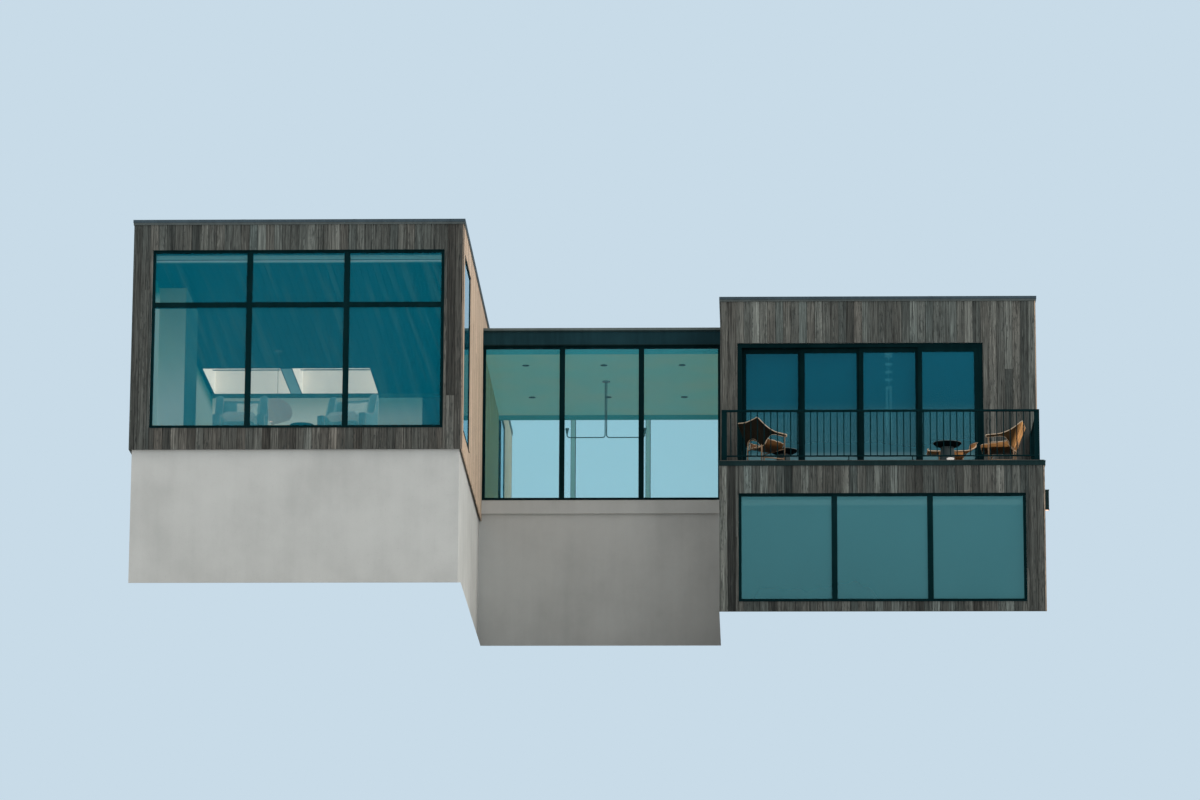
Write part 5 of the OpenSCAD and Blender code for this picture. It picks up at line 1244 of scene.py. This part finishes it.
def puff(obj, cap, voxel=0.02, frames=20):
    """Fills a closed form with air as cloth and keeps every point within cap of its start."""
    remesh = obj.modifiers.new("remesh", "REMESH")
    remesh.mode, remesh.voxel_size = "VOXEL", voxel
    bake(obj)
    start = [v.co.copy() for v in obj.data.vertices]
    cloth = obj.modifiers.new("cloth", "CLOTH")
    cloth.settings.use_pressure = True
    cloth.settings.uniform_pressure_force = 4.0
    cloth.settings.effector_weights.gravity = 0.0
    for number in range(1, frames + 1):
        scene.frame_set(number)
    view = bpy.context.evaluated_depsgraph_get()
    moved = [v.co.copy() for v in obj.evaluated_get(view).data.vertices]
    obj.modifiers.clear()
    scene.frame_set(1)
    for vertex, a, b in zip(obj.data.vertices, start, moved):
        step = b - a
        vertex.co = a + step * min(1.0, cap / max(step.length, 1e-9))


def add_padded(name, matrix, size, material, cap, crown=0.32, simulate=True):
    """A padded piece of the given size with piping round it, put in place by a matrix."""
    half = [s / 2 - cap * 0.7 for s in size]
    verts, faces = soft_form(half, crown)
    obj = add_mesh(name, verts, faces, material, None, True)
    if simulate:
        puff(obj, cap)
    subdivide = obj.modifiers.new("smooth", "SUBSURF")
    subdivide.levels = subdivide.render_levels = 1
    bake(obj)
    obj.data.transform(matrix)
    put, reach = putter(matrix), [h + cap * 0.5 for h in half[:2]]
    turns = [[math.copysign(abs(c) ** 0.3, c) for c in pair] for pair in circle(64)]
    piping.tube([put((*pulled_in(*reach, u, v), 0.0)) for u, v in turns], PIPING_R, 6, True)
    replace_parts(obj, "room_chairs")


def add_wing(name, matrix, x0):
    """A padded side of a wing chair: its outline from the side, swollen across its thickness."""
    back_y, r = SOFA_D - SOFA_T, SOFA_T / 4
    corners = [
        (0.0, FOOT_H), (back_y / 2, FOOT_H), (back_y + r, FOOT_H), (back_y + r, SOFA_SEAT_H),
        (back_y + r, SOFA_BACK_H), (back_y - r, SOFA_BACK_H - 0.01), (back_y - SOFA_T, SOFA_ARM_H + SOFA_T),
        (back_y / 2, SOFA_ARM_H + r), (0.02, SOFA_ARM_H), (0.0, SOFA_ARM_H - 0.04),
    ]
    line = rounded(corners + corners[:1], 5)[:-1]
    count = len(line)
    cy, cz = (sum(values) / count for values in zip(*line))
    put = putter(matrix)

    def layer(x, share):
        return [put((x0 + x, cy + (y - cy) * share, cz + (z - cz) * share)) for y, z in line]

    layers = [(0.0, 0.90), (0.02, 0.97), (0.06, 1.0)]
    layers += [(SOFA_T - x, share) for x, share in reversed(layers)]
    verts = [p for x, share in layers for p in layer(x, share)]
    faces = []
    for j in range(len(layers) - 1):
        for i in range(count):
            a, b = j * count + i, j * count + (i + 1) % count
            faces.append((a, b, b + count, a + count))
    for j, way in ((0, -1), (len(layers) - 1, 1)):
        middle = len(verts)
        verts.append(put((x0 + layers[j][0], cy, cz)))
        faces += [(j * count + i, j * count + (i + 1) % count, middle)[::way] for i in range(count)]
    obj = add_mesh(name, verts, faces, material=FABRIC_BLUE, smooth=True)
    for x in (0.0, SOFA_T):
        piping.tube(layer(x, 0.93), PIPING_R, 6, True)
    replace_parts(obj, "room_chairs")


def add_wing_chair(tag, x, y, turn):
    """One wing chair that faces the window, in the room of its plain solid."""
    w, d, t = SOFA_W, SOFA_D, SOFA_T
    corner = placed(x, y, turn) @ Matrix.Translation((-w / 2, -d / 2, 0.0))

    def at(px, py, pz, tilt=0.0):
        return corner @ Matrix.Translation((px, py, pz)) @ Matrix.Rotation(math.radians(tilt), 4, "X")

    base_h, back_h, pad_top = SOFA_SEAT_H - FOOT_H, SOFA_BACK_H - FOOT_H, SOFA_SEAT_H + SEAT_PAD_H
    base = at(w / 2, d / 2 - t / 4, FOOT_H + base_h / 2)
    back = at(w / 2, d - t / 2, FOOT_H + back_h / 2, 90)
    add_padded(tag + "_base", base, (w - 2 * t, d - t / 2, base_h), FABRIC_BLUE, 0.004, 0.12, False)
    add_padded(tag + "_back", back, (w - 0.02, back_h, t), FABRIC_BLUE, 0.004, 0.2, False)
    add_wing(tag + "_wing_left", corner, 0.0)
    add_wing(tag + "_wing_right", corner, w - t)
    cushion = at(w / 2, (d - t) / 2, pad_top - SEAT_PAD_H / 2)
    add_padded(tag + "_cushion", cushion, (w - 2 * t, d - t, SEAT_PAD_H), SEAT_FABRIC, 0.014)
    pillow = at(w / 2 + PILLOW_SHIFT, d - t - PILLOW_T / 2, pad_top + PILLOW_H / 2, 82)
    add_padded(tag + "_pillow", pillow, (PILLOW_W, PILLOW_H, PILLOW_T), FABRIC, 0.016, 0.42)
    profile = [(0.012, 0.0), (0.013, 0.01), (0.016, FOOT_H), (0.016, FOOT_H + 0.001)]
    for foot in ((fx, fy, 0.0) for fx in (t, w - t) for fy in (t, d - t)):
        sofa_feet.revolve(corner @ Vector(foot), profile, 16)


# Places in the room are measured from its left front corner
for tag, x, y, turn in (("first_chair", 1.865, 1.29, 0.0), ("second_chair", 4.11, 1.29, -18.0)):
    add_wing_chair(tag, in_x0 + x, room_y0 + y, turn)
sofa_feet.make("seat_feet", TAN_WOOD, "boards", True)
piping.make("seat_piping", SEAT_FABRIC, "fabric", True)
low_rim = Pile()
ring(low_rim, (in_x0 + 3.16, room_y0 + 1.1, FLOOR_Z), 0.244, 0.352, 0.006)
low_rim.make("low_table_rim", TABLE_TEAL, "dark_metal", True)

# Finish of every solid of the frame that stays in view
FINISH = {
    CONCRETE: "left_foundation link_foundation link_floor right_ground_floor",
    FLOOR_WOOD: "left_floor right_upper_floor",
    PLASTER: (
        "left_front_wall left_inner_wall left_back_wall left_room_wall right_lower_front_wall "
        "right_upper_front_wall right_outer_wall right_inner_wall right_back_wall"
    ),
    SIDE_PLASTER: "left_outer_wall",
    RETURN_PLASTER: "left_return_wall",
    BLIND: "blind_box",
    ROOFING: "left_roof right_roof",
    FRAME: (
        "left_front_window left_back_window left_side_windows rooflight_kerbs link_front_window "
        "link_back_window right_lower_window balcony_doors right_other_windows railing_front railing_sides"
    ),
    DECK_METAL: "balcony_edge wall_lamp",
    FASCIA: "link_roof",
    CAP_LOW: "left_coping right_coping",
    LINK_CAP: "link_coping",
    LAMP_METAL: "branch_lamp",
    SPOT_DARK: "ceiling_spots",
    GLASS_LEFT: "left_glass",
    GLASS_LINK: "link_glass",
    GLASS_ROOF: "rooflight_glass",
    GLASS_RIGHT: "right_glass",
    WOVEN: "ball_lamp",
    GLASS_ROD: "layered_lamp",
    TABLE_TEAL: "room_table",
}
for material, names in FINISH.items():
    for node in (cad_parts[name] for name in names.split()):
        if not node.material_slots:
            node.data.materials.append(material)
        for place in node.material_slots:
            place.material = material


def make_floor_material(see_through):
    """Pale floor. From below it shows the same pale tone as the sky, or lets the view through."""
    n = Nodes("floor_front" if see_through else "floor_back")
    under = n.shader("BsdfTransparent") if see_through else n.shader("Emission", Color=SKY_SEEN)
    side = n.add("NewGeometry").outputs["Backfacing"]
    return n.finish(n.either(side, n.shader("BsdfDiffuse", Color=FLOOR_COLOUR), under))


def add_floor(name, x0, y0, x1, y1, material, z=-0.002):
    mesh = bpy.data.meshes.new(name)
    mesh.from_pydata([(x0, y0, z), (x1, y0, z), (x1, y1, z), (x0, y1, z)], [], [(0, 1, 2, 3)])
    mesh.materials.append(material)
    floor = bpy.data.objects.new(name, mesh)
    scene.collection.objects.link(floor)


# The floor is split just behind the fronts: the photograph is taken from below it, so its front part lets
# the view through from there, and its back part shows the tone of the sky
REACH, INSET = 400.0, 0.06
front_floor, back_floor = make_floor_material(True), make_floor_material(False)
for label, x0, x1, split in (
    ("left", -REACH, LEFT_X1, LEFT_Y0 + INSET), ("middle", LEFT_X1, RIGHT_X0, LINK_Y0 + INSET),
    ("right", RIGHT_X0, REACH, RIGHT_Y0 + BOARD_SPACE),
):
    add_floor("floor_front_" + label, x0, -REACH, x1, split, front_floor)
    add_floor("floor_back_" + label, x0, split, x1, REACH, back_floor)


def make_world():
    """Plain pale surroundings: one tone where the camera and reflections look, white light elsewhere."""
    n = Nodes("studio", bpy.data.worlds.new("studio"))
    rays = n.add("LightPath").outputs
    seen = n.math("MAXIMUM", rays["Is Camera Ray"], rays["Is Glossy Ray"])
    seen = n.math("MAXIMUM", seen, rays["Is Transmission Ray"])
    light = n.shader("Background", Color=SKY_LIGHT, Strength=SKY_STRENGTH)
    scene.world = n.finish(n.either(seen, light, n.shader("Background", Color=SKY_SEEN)), "OutputWorld")


def add_light(name, kind, place, direction, energy, colour, size):
    """A sun with its softness in degrees, or a soft panel with its width and height."""
    light = bpy.data.lights.new(name, kind)
    light.energy, light.color = energy, colour
    if kind == "SUN":
        light.angle = math.radians(size)
    else:
        light.shape = "RECTANGLE"
        light.size, light.size_y = size
    lamp = bpy.data.objects.new(name, light)
    lamp.location = place
    lamp.rotation_mode = "QUATERNION"
    lamp.rotation_quaternion = Vector(direction).to_track_quat("-Z", "Y")
    lamp.visible_camera = lamp.visible_glossy = False
    scene.collection.objects.link(lamp)


def add_camera():
    """Camera at the photograph's viewing angle."""
    pitch, yaw, roll = (math.radians(turn) for turn in CAMERA_TURNS)
    ahead = Vector((-math.sin(yaw) * math.cos(pitch), math.cos(yaw) * math.cos(pitch), math.sin(pitch)))
    right = Vector((math.cos(yaw), math.sin(yaw), 0.0))
    up = right.cross(ahead)
    axes = (
        right * math.cos(roll) + up * math.sin(roll), up * math.cos(roll) - right * math.sin(roll), -ahead
    )
    data = bpy.data.cameras.new("camera")
    data.lens, data.clip_end = CAMERA_LENS, 1000.0
    camera = bpy.data.objects.new("camera", data)
    camera.matrix_world = Matrix.Translation(CAMERA_PLACE) @ Matrix(axes).transposed().to_4x4()
    scene.collection.objects.link(camera)
    scene.camera = camera


make_world()
add_light("key", "SUN", (0.0, 0.0, 20.0), (-0.8, 0.16, -0.58), 1.7, (1.0, 0.95, 0.88), 12.0)
in_room = (LEFT_X1 - 0.5, LEFT_Y0 + 1.45, FLOOR_Z + 1.9)
add_light("room_daylight", "AREA", in_room, (-1.0, 0.1, -0.25), 30.0, (0.95, 1.0, 1.0), (1.6, 2.4))
add_camera()
scene.view_settings.view_transform = "Standard"
